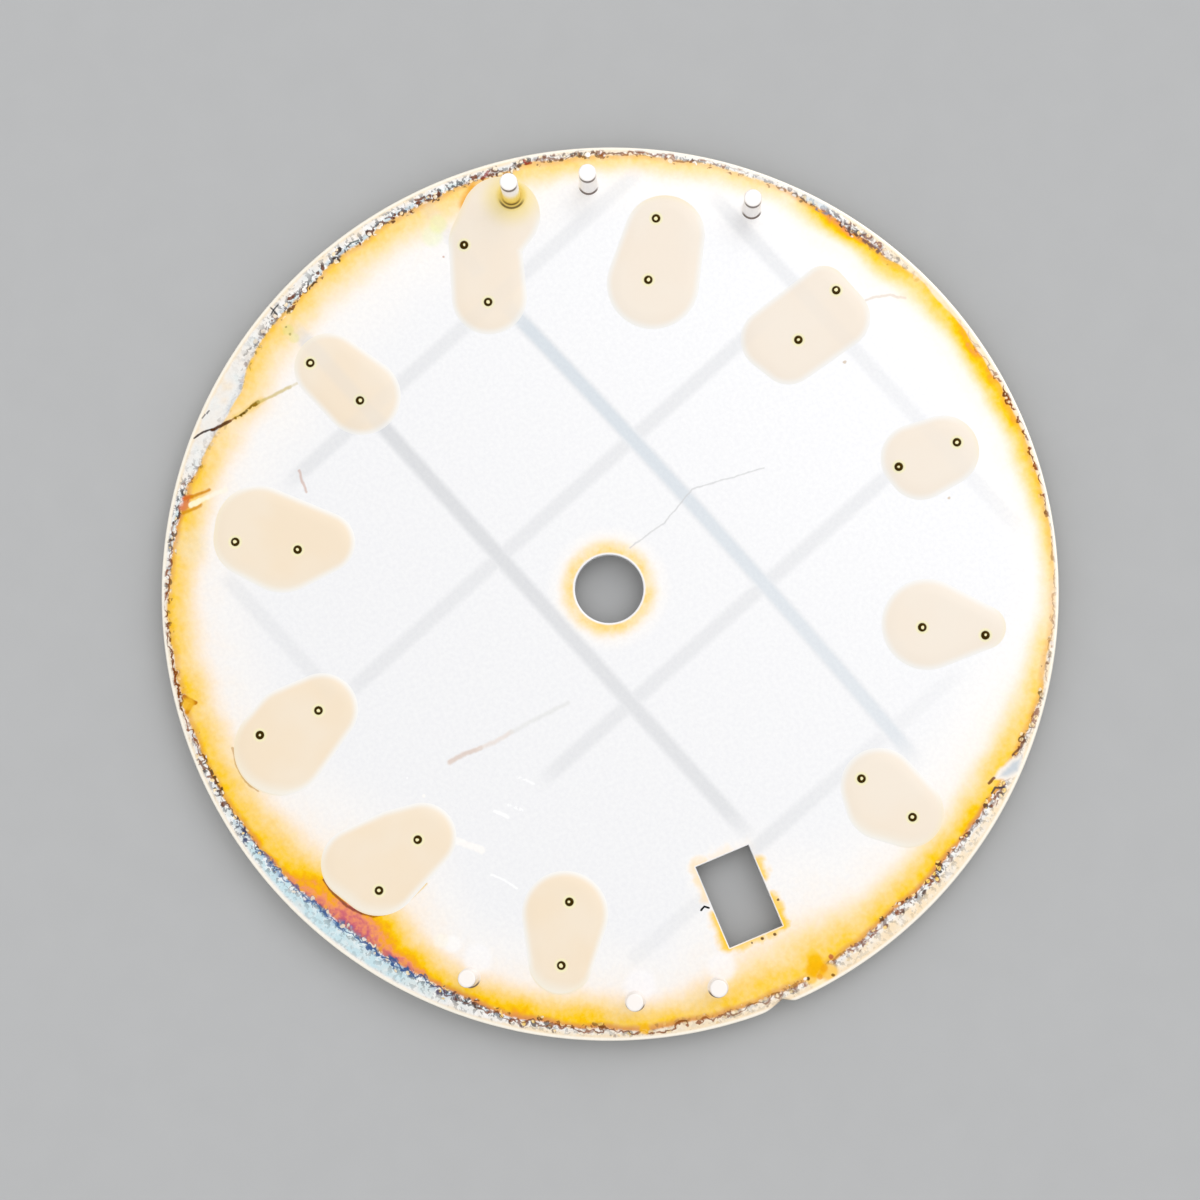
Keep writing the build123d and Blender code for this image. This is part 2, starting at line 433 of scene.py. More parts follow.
# %% The film that grows in from the rim
def rim_film(finish, place):
    """The film at the rim, the depth, how far behind the line a point is, and the looks."""
    direction = direction_share(finish, place)
    edge, film, reach = channels(finish, finish.ramp(direction, film_stops))
    edge_looks = channels(finish, finish.ramp(direction, edge_stops))
    looks = dict(zip(("blue", "fleck", "blister"), edge_looks))
    looks["hairline"], looks["burnt"], _ = channels(finish, finish.ramp(direction, line_stops))
    depth = finish.calc("SUBTRACT", DIAL_R, finish.vector("LENGTH", place))
    wide = finish.fade(finish.noise(place, 0.8, 3), 0.2, 0.8, -0.08, 0.08)
    uneven = finish.calc("ADD", depth, wide)
    behind = finish.calc("SUBTRACT", uneven, finish.calc("MULTIPLY", edge, WIDEST))
    share = finish.calc("DIVIDE", behind, finish.calc("MULTIPLY", reach, WIDEST))
    body = finish.fade(share, 0.05, 1.0, 0.80, 0)
    tail = finish.fade(share, 0.0, 2.6, 0.20, 0)
    patchy = finish.fade(finish.noise(place, 1.1, 3), 0.25, 0.75, 0.86, 1.12)
    grainy = finish.fade(finish.noise(place, 5.0, 3), 0.3, 0.7, 0.93, 1.07)
    clouds = finish.calc("MULTIPLY", patchy, grainy)
    fallen = finish.calc("MULTIPLY", finish.calc("ADD", body, tail), clouds)
    mottled = finish.fade(finish.noise(place, 4.0, 3), 0.3, 0.7, 0.0, 0.36)
    near = finish.calc("MULTIPLY", finish.fade(behind, 0.0, 0.34, 1, 0), looks["blue"])
    near = finish.calc("MULTIPLY", near, mottled)
    thickness = finish.calc("MULTIPLY", film, finish.calc("ADD", fallen, near))
    return thickness, behind, depth, looks


# %% [markdown]
# The hole and the window were stamped through the plating, and the film starts again from
# their cut edges, in a thin band that soon fades to peach. Close to the cut it is rubbed
# white. Round the window it is broken: strong at some stretches and missing at others.

# %% The film round the hole and the window
HOLE_FILM = 0.44
WINDOW_FILM = 0.62


def halo(finish, gap, rubbed, strong, reach):
    """How thick the film is by the distance from a cut edge, as a share of the thickest."""
    start = finish.fade(gap, rubbed * 0.4, rubbed * 1.4)
    tail = finish.fade(gap, strong, reach, 0.24, 0)
    body = finish.fade(gap, strong * 0.3, strong * 1.7, 0.76, 0)
    return finish.calc("MULTIPLY", start, finish.calc("ADD", body, tail))


def opening_film(finish, place):
    """The film round the hole and the window."""
    patchy = finish.fade(finish.noise(place, 0.9, 4, 0.7), 0.35, 0.65, 0.65, 1.15)
    hole_gap = finish.calc("SUBTRACT", finish.vector("LENGTH", place), HOLE_R)
    hole = finish.calc("MULTIPLY", halo(finish, hole_gap, 0.07, 0.36, 1.0), patchy)
    hole = finish.calc("MULTIPLY", hole, HOLE_FILM / FILM_MOST)
    from_middle = finish.vector("SUBTRACT", place, (*WINDOW_MID, 0))
    outside = finish.vector("SUBTRACT", finish.vector("ABSOLUTE", from_middle), (*WINDOW / 2, 0))
    window_gap = finish.vector("LENGTH", finish.vector("MAXIMUM", outside, (0, 0, 0)))
    ragged = finish.fade(finish.noise(place, 3.0, 3), 0.3, 0.7, -0.05, 0.10)
    ragged = finish.calc("MULTIPLY", ragged, finish.fade(window_gap, 0.03, 0.12))
    edge = halo(finish, finish.calc("ADD", window_gap, ragged), 0.04, 0.24, 0.65)
    window = finish.calc("MULTIPLY", edge, window_share(finish, from_middle))
    window = finish.calc("MULTIPLY", window, WINDOW_FILM / FILM_MOST)
    return finish.calc("MAXIMUM", hole, window)


WINDOW_STRETCHES = [
    # a place on the window's edge as shares of its half sizes, its size in mm, the strength
    ((-0.80, 1.1), 0.55, 1.0), ((-0.35, 1.1), 0.50, 0.9), ((0.5, 1.1), 0.70, 0.45),
    ((1.0, 0.9), 0.50, 0.4), ((0.4, -1.1), 0.55, 0.85), ((-0.45, -1.1), 0.50, 0.9),
    ((-0.85, -1.1), 0.55, 1.0), ((-1.1, -0.7), 0.50, 0.8), ((-1.1, 0.3), 0.80, 0.8),
    ((1.1, 0.0), 0.60, 0.25),
]
WINDOW_LEAST = 0.12


def window_share(finish, from_middle):
    """How much film there is along the window's edge, 1 where it is strongest."""
    total = WINDOW_LEAST
    for (x_share, y_share), size, strength in WINDOW_STRETCHES:
        middle = (x_share * WINDOW.x / 2, y_share * WINDOW.y / 2, 0)
        gap = finish.vector("DISTANCE", from_middle, middle)
        total = finish.calc("MAXIMUM", total, finish.fade(gap, size * 0.5, size, strength, 0))
    return total


# %% [markdown]
# Scratches, cracks and hairs are strokes: the distance to a short line decides how dark a
# point is. The broad pale bands that cross the plate, a painted reflection of a lattice,
# are softer, and bend a little, so each is a parabola between two places with a given rise
# in its middle.

# %% Strokes and bands
def stroke(finish, place, points, width, soft=0.03):
    """1 on a line through the points and 0 away from it."""
    nearest = None
    for start, end in zip(points, points[1:]):
        run = end - start
        from_start = finish.vector("SUBTRACT", place, start)
        along = finish.vector("DOT_PRODUCT", from_start, run / run.length_squared)
        on_line = finish.node("Clamp", {0: along}).outputs[0]
        foot = finish.node("VectorMath", {0: run, "Scale": on_line}, operation="SCALE").outputs[0]
        gap = finish.vector("DISTANCE", from_start, foot)
        nearest = gap if nearest is None else finish.calc("MINIMUM", nearest, gap)
    return finish.fade(nearest, width / 2, width / 2 + soft, 1, 0)


def band(finish, place, start, end, rise, width):
    """A broad line that bends by the given rise, with soft sides and ends, and its run."""
    middle = (start + end) / 2
    half = (end - start) / 2
    across = Vector((-half.y, half.x, 0)).normalized()
    from_middle = finish.vector("SUBTRACT", place, middle)
    along = finish.vector("DOT_PRODUCT", from_middle, half / half.length_squared)
    square = finish.calc("MULTIPLY", along, along)
    bend = finish.calc("MULTIPLY", finish.calc("SUBTRACT", 1, square), rise)
    offset = finish.calc("SUBTRACT", finish.vector("DOT_PRODUCT", from_middle, across), bend)
    side = finish.fade(finish.calc("ABSOLUTE", offset), width * 0.2, width * 0.65, 1, 0)
    return finish.calc("MULTIPLY", side, finish.fade(square, 0.8, 1.15, 1, 0)), along


# %% [markdown]
# The bands of the photograph come first, in pixels: two families that cross like a
# lattice. Each line holds two ends, the rise in millimetres and the strength at each end.
# The bands are a painted reflection of the dark bars of a lattice in the satin plating.
# Where two bands cross the plate is no darker, so the stronger one counts. The first two
# bands are the strongest, and only the first one is bluish.

# %% The faint lattice, a painted reflection
LATTICE_REFLECTION = [
    ((508, 307), (912, 755), 0.16, 0.90, 0.60), ((300, 334), (745, 831), 0.0, 0.95, 0.66),
    ((225, 576), (335, 697), 0.0, 0.3, 0.3), ((715, 198), (1020, 530), 0.0, 0.5, 0.25),
    ((290, 482), (640, 170), 0.0, 0.5, 0.35), ((345, 696), (765, 320), 0.0, 0.4, 0.5),
    ((545, 779), (895, 469), 0.0, 0.45, 0.45), ((745, 857), (960, 671), 0.0, 0.45, 0.15),
    ((630, 962), (705, 897), 0.0, 0.2, 0.25), ((425, 205), (480, 275), 0.0, 0.25, 0.4),
]
BAND_WIDTH = 0.55
BAND_BLUE = shown(212, 219, 225)
BAND_GREY = shown(218, 219, 221)


def lattice_reflection(finish, place):
    """How strongly the painted reflection of the lattice shows, and its tint."""
    total, tint = 0.0, BAND_GREY
    for number, (start, end, rise, at_start, at_end) in enumerate(LATTICE_REFLECTION):
        line, along = band(finish, place, seen_at(*start), seen_at(*end), rise, BAND_WIDTH)
        if number == 0:
            tint = finish.mix(line, BAND_GREY, BAND_BLUE)
        line = finish.calc("MULTIPLY", line, finish.fade(along, -1, 1, at_start, at_end))
        total = finish.calc("MAXIMUM", total, line)
    return total, tint


# %% [markdown]
# Next come the single marks: a crack from the rim into one of the drops of glue, a scrape
# with burnt borders, scratches, hairs and brown lines where the glue met the tarnish. A
# scratch never runs quite straight, so the place is shaken by a fine noise first, and
# some lines are broken into dashes by a second one.

# %% The single marks
MARKS = [
    # pixels, width mm, softness mm, colour, strength, dashed
    # the crack from the rim, and the stain along it
    (((236, 417), (248, 410), (262, 400)), 0.060, 0.16, shown(244, 206, 100), 0.6, False),
    (((194, 438), (203, 432), (214, 429)), 0.030, 0.03, shown(62, 48, 44), 0.95, False),
    (((212, 430), (221, 426), (230, 421)), 0.070, 0.04, shown(84, 46, 18), 0.95, False),
    (((230, 421), (236, 418)), 0.025, 0.04, shown(150, 100, 50), 0.8, False),
    (((236, 418), (245, 413), (251, 407), (258, 402)), 0.060, 0.05, shown(140, 104, 8), 0.95, True),
    (((240, 415), (247, 411)), 0.045, 0.04, shown(96, 70, 8), 0.8, False),
    (((258, 402), (268, 398), (290, 387)), 0.030, 0.07, shown(206, 184, 104), 0.7, False),
    (((290, 387), (309, 376)), 0.020, 0.06, shown(222, 210, 176), 0.6, False),
    (((202, 418), (205, 414)), 0.015, 0.03, shown(70, 70, 74), 0.8, False),
    (((207, 413), (210, 411)), 0.015, 0.03, shown(70, 70, 74), 0.8, False),
    # the scrape, white in the middle and burnt at its borders
    (((183, 508), (187, 504)), 0.120, 0.12, shown(222, 128, 84), 0.8, False),
    (((184, 499), (191, 497)), 0.050, 0.10, shown(214, 98, 28), 0.85, False),
    (((191, 497), (200, 494), (209, 490)), 0.030, 0.07, shown(214, 140, 14), 0.9, False),
    (((193, 496), (203, 492)), 0.015, 0.04, shown(186, 116, 8), 0.7, True),
    (((183, 513), (193, 509), (201, 505)), 0.035, 0.08, shown(216, 146, 18), 0.85, False),
    (((191, 505), (199, 501)), 0.110, 0.06, shown(255, 247, 210), 1.0, False),
    (((199, 501), (208, 497)), 0.060, 0.07, shown(255, 247, 216), 0.9, False),
    (((208, 497), (226, 489)), 0.040, 0.10, shown(255, 249, 232), 0.7, False),
    # beside the place at the rim where the film has flaked off
    (((992, 793), (996, 788), (1004, 787)), 0.035, 0.03, shown(66, 62, 72), 0.9, False),
    (((989, 783), (994, 778)), 0.050, 0.04, shown(116, 62, 34), 0.9, False),
    (((1013, 755), (1021, 747), (1024, 740)), 0.035, 0.04, shown(112, 72, 52), 0.85, False),
    # the blue patch and the dark stretch at the upper right of the rim
    (((809, 198), (815, 201), (824, 206)), 0.100, 0.14, shown(210, 222, 230), 0.6, False),
    (((801, 198), (808, 203), (813, 206)), 0.030, 0.04, shown(84, 50, 34), 0.8, True),
    (((816, 209), (824, 213), (831, 213)), 0.040, 0.06, shown(112, 118, 140), 0.8, True),
    (((838, 219), (852, 230), (866, 241), (878, 251)), 0.060, 0.10, shown(104, 78, 84), 0.85, True),
    # hairs, streaks and scratches on the plate
    (((630, 548), (647, 535), (664, 523), (675, 510), (692, 489), (764, 468)), 0.02, 0.03,
     shown(204, 204, 204), 0.6, False),
    (((450, 762), (462, 755), (480, 748)), 0.050, 0.10, shown(222, 202, 190), 0.8, False),
    (((480, 748), (495, 742), (512, 732)), 0.030, 0.10, shown(232, 220, 212), 0.7, False),
    (((512, 732), (530, 722), (568, 703)), 0.030, 0.10, shown(228, 228, 226), 0.6, False),
    (((299, 471), (302, 480), (306, 492)), 0.030, 0.05, shown(205, 166, 150), 0.6, False),
    (((866, 300), (876, 297), (890, 295), (905, 298)), 0.030, 0.05, shown(222, 206, 190), 0.6, False),
    (((491, 875), (503, 879), (517, 888)), 0.030, 0.04, shown(255, 255, 255), 0.9, False),
    (((457, 841), (468, 845), (482, 850)), 0.120, 0.10, shown(255, 252, 248), 0.9, False),
    (((495, 811), (508, 817)), 0.050, 0.05, shown(255, 255, 255), 0.9, False),
    (((509, 805), (522, 810)), 0.060, 0.04, shown(255, 255, 255), 0.9, True),
    (((517, 777), (538, 785)), 0.030, 0.04, shown(255, 255, 255), 0.8, True),
    (((701, 910), (704, 907), (709, 908)), 0.045, 0.02, shown(24, 24, 26), 1.0, False),
    # brown lines where the glue met the tarnish
    (((324, 880), (333, 893), (347, 906), (361, 913)), 0.045, 0.05, shown(124, 54, 50), 0.8, False),
    (((361, 913), (373, 916)), 0.045, 0.05, shown(150, 84, 30), 0.8, False),
    (((373, 916), (384, 914), (396, 907)), 0.045, 0.05, shown(186, 124, 14), 0.9, False),
    (((396, 907), (410, 898), (426, 884)), 0.030, 0.07, shown(240, 206, 130), 0.8, False),
    (((233, 748), (236, 764), (245, 781), (258, 791)), 0.030, 0.05, shown(190, 140, 60), 0.6, False),
    (((464, 205), (468, 197), (473, 189)), 0.100, 0.22, shown(238, 164, 30), 0.8, False),
    # crossed and slanting nicks in the bare edge, and the amber fork at the left
    (((269, 306), (277, 315)), 0.020, 0.03, shown(44, 46, 50), 0.9, False),
    (((278, 305), (271, 314)), 0.020, 0.03, shown(44, 46, 50), 0.9, False),
    (((346, 247), (352, 243), (358, 240)), 0.025, 0.03, shown(60, 80, 78), 0.85, False),
    (((187, 712), (190, 706), (194, 703)), 0.070, 0.07, shown(212, 138, 12), 0.95, False),
    (((180, 700), (177, 685), (173, 666), (171, 647), (168, 620)), 0.035, 0.03,
     shown(128, 68, 14), 0.9, True),
    (((184, 697), (189, 700), (195, 703)), 0.065, 0.06, shown(190, 112, 8), 0.9, False),
    # red curls at the top of the rim, beside the post that stands in the glue
    (((514, 155), (519, 158), (522, 154)), 0.040, 0.04, shown(150, 44, 30), 0.85, False),
    (((524, 160), (527, 164), (531, 163)), 0.040, 0.04, shown(160, 52, 34), 0.8, False),
    (((488, 172), (484, 178), (478, 181)), 0.050, 0.05, shown(150, 50, 40), 0.8, True),
]
SPECKS = [
    # pixel, radius mm, colour, strength
    ((845, 362), 0.07, shown(206, 188, 166), 0.8), ((949, 498), 0.06, shown(210, 190, 168), 0.8),
    ((443, 257), 0.05, shown(206, 168, 150), 0.8), ((752, 943), 0.05, shown(110, 70, 40), 0.8),
    ((762, 939), 0.06, shown(84, 46, 24), 0.9), ((775, 934), 0.06, shown(96, 56, 28), 0.9),
    ((778, 900), 0.05, shown(100, 66, 30), 0.9), ((466, 171), 0.09, shown(170, 62, 44), 0.8),
    ((522, 155), 0.09, shown(186, 72, 48), 0.8), ((188, 704), 0.26, shown(246, 190, 50), 0.8),
    ((588, 155), 0.10, shown(255, 255, 255), 1.0), ((272, 291), 0.30, shown(236, 240, 206), 0.4),
    ((432, 236), 0.45, shown(236, 243, 202), 0.5), ((438, 224), 0.38, shown(240, 240, 170), 0.5),
    ((288, 330), 0.24, shown(232, 222, 136), 0.6), ((294, 338), 0.20, shown(236, 230, 158), 0.5),
    ((290, 334), 0.05, shown(120, 108, 40), 0.5), ((286, 327), 0.05, shown(96, 84, 36), 0.5),
    ((192, 545), 0.70, shown(238, 232, 208), 0.25), ((407, 778), 0.05, shown(255, 255, 255), 0.9),
    ((424, 796), 0.07, shown(255, 252, 248), 0.9), ((440, 812), 0.06, shown(255, 252, 248), 0.9),
    ((645, 1029), 0.22, shown(250, 190, 20), 0.8),
    # where light that the posts throw back brightens the plate
    ((478, 958), 0.60, shown(252, 251, 251), 0.7), ((453, 944), 0.35, shown(255, 253, 251), 0.7),
    ((441, 941), 0.30, shown(255, 250, 236), 0.5), ((722, 967), 0.60, shown(252, 250, 250), 0.7),
    ((640, 985), 0.65, shown(252, 250, 251), 0.7),
    # the thick amber drop beside the notch, from its pale lower end to its core
    ((819, 984), 0.30, shown(255, 238, 190), 0.8), ((811, 978), 0.26, shown(250, 204, 90), 0.9),
    ((829, 972), 0.36, shown(252, 204, 96), 0.95), ((813, 956), 0.26, shown(253, 208, 70), 0.9),
    ((815, 962), 0.34, shown(250, 192, 22), 1.0), ((818, 970), 0.36, shown(250, 186, 14), 0.9),
    ((812, 970), 0.28, shown(248, 184, 16), 0.9), ((824, 968), 0.16, shown(240, 166, 24), 0.7),
    ((820, 977), 0.12, shown(238, 160, 20), 0.7), ((833, 975), 0.07, shown(130, 84, 20), 0.9),
    ((808, 979), 0.08, shown(70, 36, 30), 0.9), ((805, 979), 0.07, shown(255, 250, 244), 0.9),
    ((831, 957), 0.10, shown(186, 84, 62), 0.8),
]
FLAKED = [
    # corners in pixels, softness mm, colour: where the film has come off in a wedge
    (((1027, 748), (1011, 757), (998, 767), (989, 781), (1007, 782), (1021, 776)), 0.14,
     shown(249, 240, 229)),
    (((1026, 751), (1011, 760), (1001, 769), (995, 780), (1008, 779), (1020, 773)), 0.20,
     shown(204, 210, 215)),
]
SHAKE = 0.055


def shaken(finish, place):
    """The place moved a little by a fine noise, so that lines drawn with it are uneven."""
    fine = finish.node("TexNoise", {"Vector": place, "Scale": 3.5, "Detail": 3.0}).outputs[1]
    moved = finish.vector("SUBTRACT", fine, (0.5, 0.5, 0.5))
    return finish.vector("ADD", place, finish.vector("MULTIPLY", moved, (SHAKE * 2, SHAKE * 2, 0)))


def inside(finish, place, corners, soft):
    """1 inside a shape whose corners bend only outwards, with a soft border."""
    middle = sum(corners, Vector((0, 0, 0))) / len(corners)
    nearest = None
    for start, end in zip(corners, corners[1:] + corners[:1]):
        run = (end - start).normalized()
        inward = Vector((-run.y, run.x, 0))
        if inward.dot(middle - start) < 0:
            inward.negate()
        gap = finish.vector("DOT_PRODUCT", finish.vector("SUBTRACT", place, start), inward)
        nearest = gap if nearest is None else finish.calc("MINIMUM", nearest, gap)
    return finish.fade(nearest, 0, soft)


def add_marks(finish, place, colour):
    uneven = shaken(finish, place)
    for pixels, soft, tint in FLAKED:
        shape = inside(finish, uneven, [seen_at(*pixel) for pixel in pixels], soft)
        colour = finish.mix(shape, colour, tint)
    dashes = finish.grains(place, 5.0, 0.46, 0.54)
    for pixels, width, soft, tint, strength, dashed in MARKS:
        line = stroke(finish, uneven, [seen_at(*pixel) for pixel in pixels], width, soft)
        line = finish.calc("MULTIPLY", line, strength)
        if dashed:
            line = finish.calc("MULTIPLY", line, dashes)
        colour = finish.mix(line, colour, tint)
    for pixel, radius, tint, strength in SPECKS:
        gap = finish.vector("DISTANCE", uneven, seen_at(*pixel))
        colour = finish.mix(finish.fade(gap, radius * 0.5, radius, strength, 0), colour, tint)
    return colour


# %% [markdown]
# Where bare edge and film meet, the plating has blistered: white and golden blisters about
# a sixth of a millimetre wide, each with a dark curl at one side. The curl is partly grime
# and partly painted shade, which with the pale blister gives each one a painted relief. A
# cell pattern gives the distance to scattered points, so a small distance is a round
# blister. The same pattern, moved a little, gives a second disc that looks out from behind
# the first as a crescent, and that is the curl. Elsewhere the line is only a broken brown
# hairline.

# %% Blisters, curls and hairlines
BLISTERS = 4.0
BLISTER_R = 0.34
CURL_R = 0.52
CURL_SHIFT = 0.075
WHITE_SKIN = shown(255, 250, 244)
GOLDEN_SKIN = shown(255, 216, 112)
DARK_GRIME_AND_SHADE = shown(50, 40, 36)
RUSTY_GRIME_AND_SHADE = shown(140, 72, 34)
BLUE_GRIME_AND_SHADE = shown(64, 94, 146)
BROWN_HAIR = shown(150, 84, 24)


def cells(finish, place):
    """The distance to the nearest of many scattered points, in cells."""
    return finish.node("TexVoronoi", {"Vector": place, "Scale": BLISTERS}).outputs["Distance"]


def add_blisters(finish, place, colour, behind, looks):
    """Blisters with dark curls, and a hairline, along the line where the film begins."""
    wander = finish.fade(finish.noise(place, 3.0, 2), 0.3, 0.7, -0.04, 0.16)
    off_line = finish.calc("ADD", behind, wander)
    zone = finish.fade(finish.calc("ABSOLUTE", off_line), 0.10, 0.16, 1, 0)
    zone = finish.calc("MULTIPLY", zone, looks["blister"])
    uneven = shaken(finish, place)
    swirl = finish.node("TexNoise", {"Vector": place, "Scale": 1.6, "Detail": 1.0}).outputs[1]
    swirl = finish.vector("NORMALIZE", finish.vector("SUBTRACT", swirl, (0.5, 0.5, 0.5)))
    swirl = finish.vector("MULTIPLY", swirl, (CURL_SHIFT, CURL_SHIFT, 0))
    kept = finish.grains(place, 3.6, 0.40, 0.47)
    # Painted relief: a pale disc with a dark crescent beside it, partly grime, partly painted shade.
    blister = finish.fade(cells(finish, uneven), BLISTER_R * 0.8, BLISTER_R, 1, 0)
    shifted = cells(finish, finish.vector("ADD", uneven, swirl))
    curl = finish.fade(shifted, CURL_R * 0.86, CURL_R, 1, 0)
    curl = finish.calc("MULTIPLY", curl, finish.calc("MULTIPLY", zone, kept))
    rust = finish.fade(finish.noise(place, 1.7, 2), 0.40, 0.60)
    rust = finish.calc("MULTIPLY", rust, finish.calc("SUBTRACT", 1, looks["blue"]))
    darkening = finish.mix(rust, DARK_GRIME_AND_SHADE, RUSTY_GRIME_AND_SHADE)
    darkening = finish.mix(finish.fade(looks["blue"], 0.4, 0.95), darkening, BLUE_GRIME_AND_SHADE)
    colour = finish.mix(finish.calc("MULTIPLY", curl, 0.90), colour, darkening)
    golden = finish.fade(finish.noise(place, 1.2, 2), 0.35, 0.55)
    golden = finish.calc("MULTIPLY", golden, looks["burnt"])
    skin = finish.mix(golden, WHITE_SKIN, GOLDEN_SKIN)
    colour = finish.mix(finish.calc("MULTIPLY", blister, zone), colour, skin)
    broken = finish.grains(place, 2.6, 0.31, 0.39)
    thin = finish.fade(finish.calc("ABSOLUTE", off_line), 0.015, 0.05, 1, 0)
    hair = finish.calc("MULTIPLY", finish.calc("MULTIPLY", thin, broken), looks["hairline"])
    warm = finish.fade(looks["blue"], 0.2, 0.8, 0.6, 0)
    return finish.mix(hair, colour, finish.mix(warm, darkening, BROWN_HAIR))


# %% [markdown]
# The bare edge itself is flecked with dark and white grains, which are noise cut off at a
# threshold. They lie thicker towards the line.

# %% Flecks
PALE_FLECK = shown(255, 254, 252)
DARK_FLECK = shown(54, 52, 60)


def add_flecks(finish, place, colour, depth, behind, amount):
    on_edge = finish.calc(
        "MULTIPLY", finish.fade(depth, 0.08, 0.18), finish.fade(behind, -0.02, 0.06, 1, 0))
    dense = finish.fade(behind, -0.40, -0.05, 0.35, 1.0)
    amount = finish.calc("MULTIPLY", finish.calc("MULTIPLY", on_edge, dense), amount)
    fleck = finish.calc("MULTIPLY", finish.grains(place, 5.5, 0.52, 0.56), amount)
    pale = finish.grains(finish.vector("ADD", place, (9, 4, 0)), 5.0, 0.52, 0.57)
    colour = finish.mix(finish.calc("MULTIPLY", pale, amount), colour, PALE_FLECK)
    return finish.mix(finish.calc("MULTIPLY", fleck, 0.95), colour, DARK_FLECK)


# %% [markdown]
# Now the plating itself. Behind the line the film ramp gives the colour, burnt to salmon
# where the two meet. In front of the line the edge is bare: cream at the very rim, and
# silver or blue further in. Faint bands of painted reflection, flecks, blisters and single
# marks are laid over that, and the last edge is made paler.

# %% The plating
EDGE_COLOURS = [
    # tone, from cream at the very rim to silver and blue
    (0.00, shown(249, 226, 190)), (0.15, shown(246, 229, 202)), (0.35, shown(243, 237, 229)),
    (0.50, shown(240, 239, 235)), (0.75, shown(220, 230, 230)), (1.00, shown(204, 228, 234)),
]
BURNT = shown(216, 142, 92)
DEEP_BLUE = shown(112, 150, 196)
PALE_RIM = shown(254, 249, 237)
PLATING_ROUGHNESS = 0.42


def plating():
    finish = Finish("silver_plating")
    place = flat(finish, finish.place())
    thickness, behind, depth, looks = rim_film(finish, place)
    film = finish.calc("MAXIMUM", thickness, opening_film(finish, place))
    colour = finish.ramp(film, [(at / FILM_MOST, tint) for at, tint in FILM_COLOURS])
    burnt = finish.calc("MULTIPLY", finish.fade(behind, 0.03, 0.22, 0.85, 0), looks["burnt"])
    colour = finish.mix(burnt, colour, BURNT)

    cloudy = finish.fade(finish.noise(place, 2.2, 3), 0.3, 0.6, 0.8, 1.05)
    inward = finish.calc("MULTIPLY", finish.fade(depth, 0.06, 0.24, 0.2, 1.0), cloudy)
    shimmer = finish.fade(finish.noise(place, 1.3, 2), 0.3, 0.7, -0.10, 0.22)
    tone = finish.calc("MULTIPLY", finish.calc("ADD", looks["blue"], shimmer), inward)
    silver = finish.calc("MULTIPLY", finish.fade(behind, -0.32, -0.08, 0, 0.9), looks["fleck"])
    tone = finish.calc("MAXIMUM", tone, silver)
    bare = finish.ramp(tone, EDGE_COLOURS)
    deep = finish.calc("MULTIPLY", finish.fade(behind, -0.26, -0.02, 0, 0.9), looks["blue"])
    deep = finish.calc("MULTIPLY", deep, finish.grains(place, 1.2, 0.42, 0.62))
    bare = finish.mix(deep, bare, DEEP_BLUE)
    colour = finish.mix(finish.fade(behind, -0.06, 0.02, 1, 0), colour, bare)

    # Painted reflection: the faint bands of a lattice of bars.
    bands, band_tint = lattice_reflection(finish, place)
    colour = finish.mix(bands, colour, band_tint)
    colour = add_flecks(finish, place, colour, depth, behind, looks["fleck"])
    colour = add_blisters(finish, place, colour, behind, looks)
    colour = add_marks(finish, place, colour)
    # The outermost edge is made paler.
    pale_rim = finish.fade(depth, 0.05, 0.15, 0.95, 0)
    colour = finish.mix(pale_rim, colour, PALE_RIM)

    satin = finish.noise(place, 8.0, 4, 0.6)
    mottled = finish.mix(finish.fade(satin, 0.3, 0.7), shown(250, 250, 251), shown(255, 255, 255))
    colour = finish.mix(1.0, colour, mottled, "MULTIPLY")
    finish.shade(Base_Color=colour, Metallic=1.0, Roughness=PLATING_ROUGHNESS)
    finish.bump(satin, 0.003, 0.5)
    return finish.material


plating_material = plating()
print("nodes in the plating:", len(plating_material.node_tree.nodes))

# %% [markdown]
# ## The plate
#
# The blank is stamped from sheet 0.4 mm thick. We draw the rim, the hole, the window and
# the small holes for the markers' feet as loops, carry each one down through the sheet,
# and fill the two flat faces between them. The loops get rounded edges on the way down,
# so the light finds them. The locating notch is pressed into the rim loop first.

# %% Loops for the rim and the window
RIM_SEGMENTS = 720
NOTCH_CUTS = 5
NOTCH_REACH = 1.0
NOTCH_ROUNDING = 0.05


def rim_loop(bm, radius, height):
    """The round rim with its notch at 3 o'clock, along -X, as the first loop of a mesh."""
    loop = make_circle(bm, radius, height=height, segments=RIM_SEGMENTS)
    notch_side = -math.sqrt(radius**2 - NOTCH_REACH**2)
    near_notch = [edge for edge in loop if all(vert.co.x < notch_side for vert in edge.verts)]
    bmesh.ops.subdivide_edges(bm, edges=near_notch, cuts=NOTCH_CUTS)
    for vert in bm.verts:
        side = vert.co.y
        run = NOTCH_RUNS[1 if side > 0 else -1]
        wedge = NOTCH_DEPTH * (1 - abs(side) / run) if vert.co.x < 0 else -1
        depth = (wedge + math.sqrt(wedge**2 + NOTCH_ROUNDING**2)) / 2
        flat_r = math.hypot(vert.co.x, vert.co.y)
        vert.co.x *= (radius - depth) / flat_r
        vert.co.y *= (radius - depth) / flat_r
    return list(bm.edges)


def window_loop(bm, grow, height):
    """The rectangular window, with the size that it has plus grow on each side."""
    half = WINDOW / 2 + Vector((grow, grow))
    corners = [(-1, -1), (1, -1), (1, 1), (-1, 1)]
    verts = [bm.verts.new((WINDOW_MID.x + x * half.x, WINDOW_MID.y + y * half.y, height))
             for x, y in corners]
    return [bm.edges.new((verts[i - 1], verts[i])) for i in range(4)]


# %% [markdown]
# A sheet with openings is the same work for the plate and for the lacquer on its front, so
# it is one function. The profile of an opening starts wide and closes to its true size.

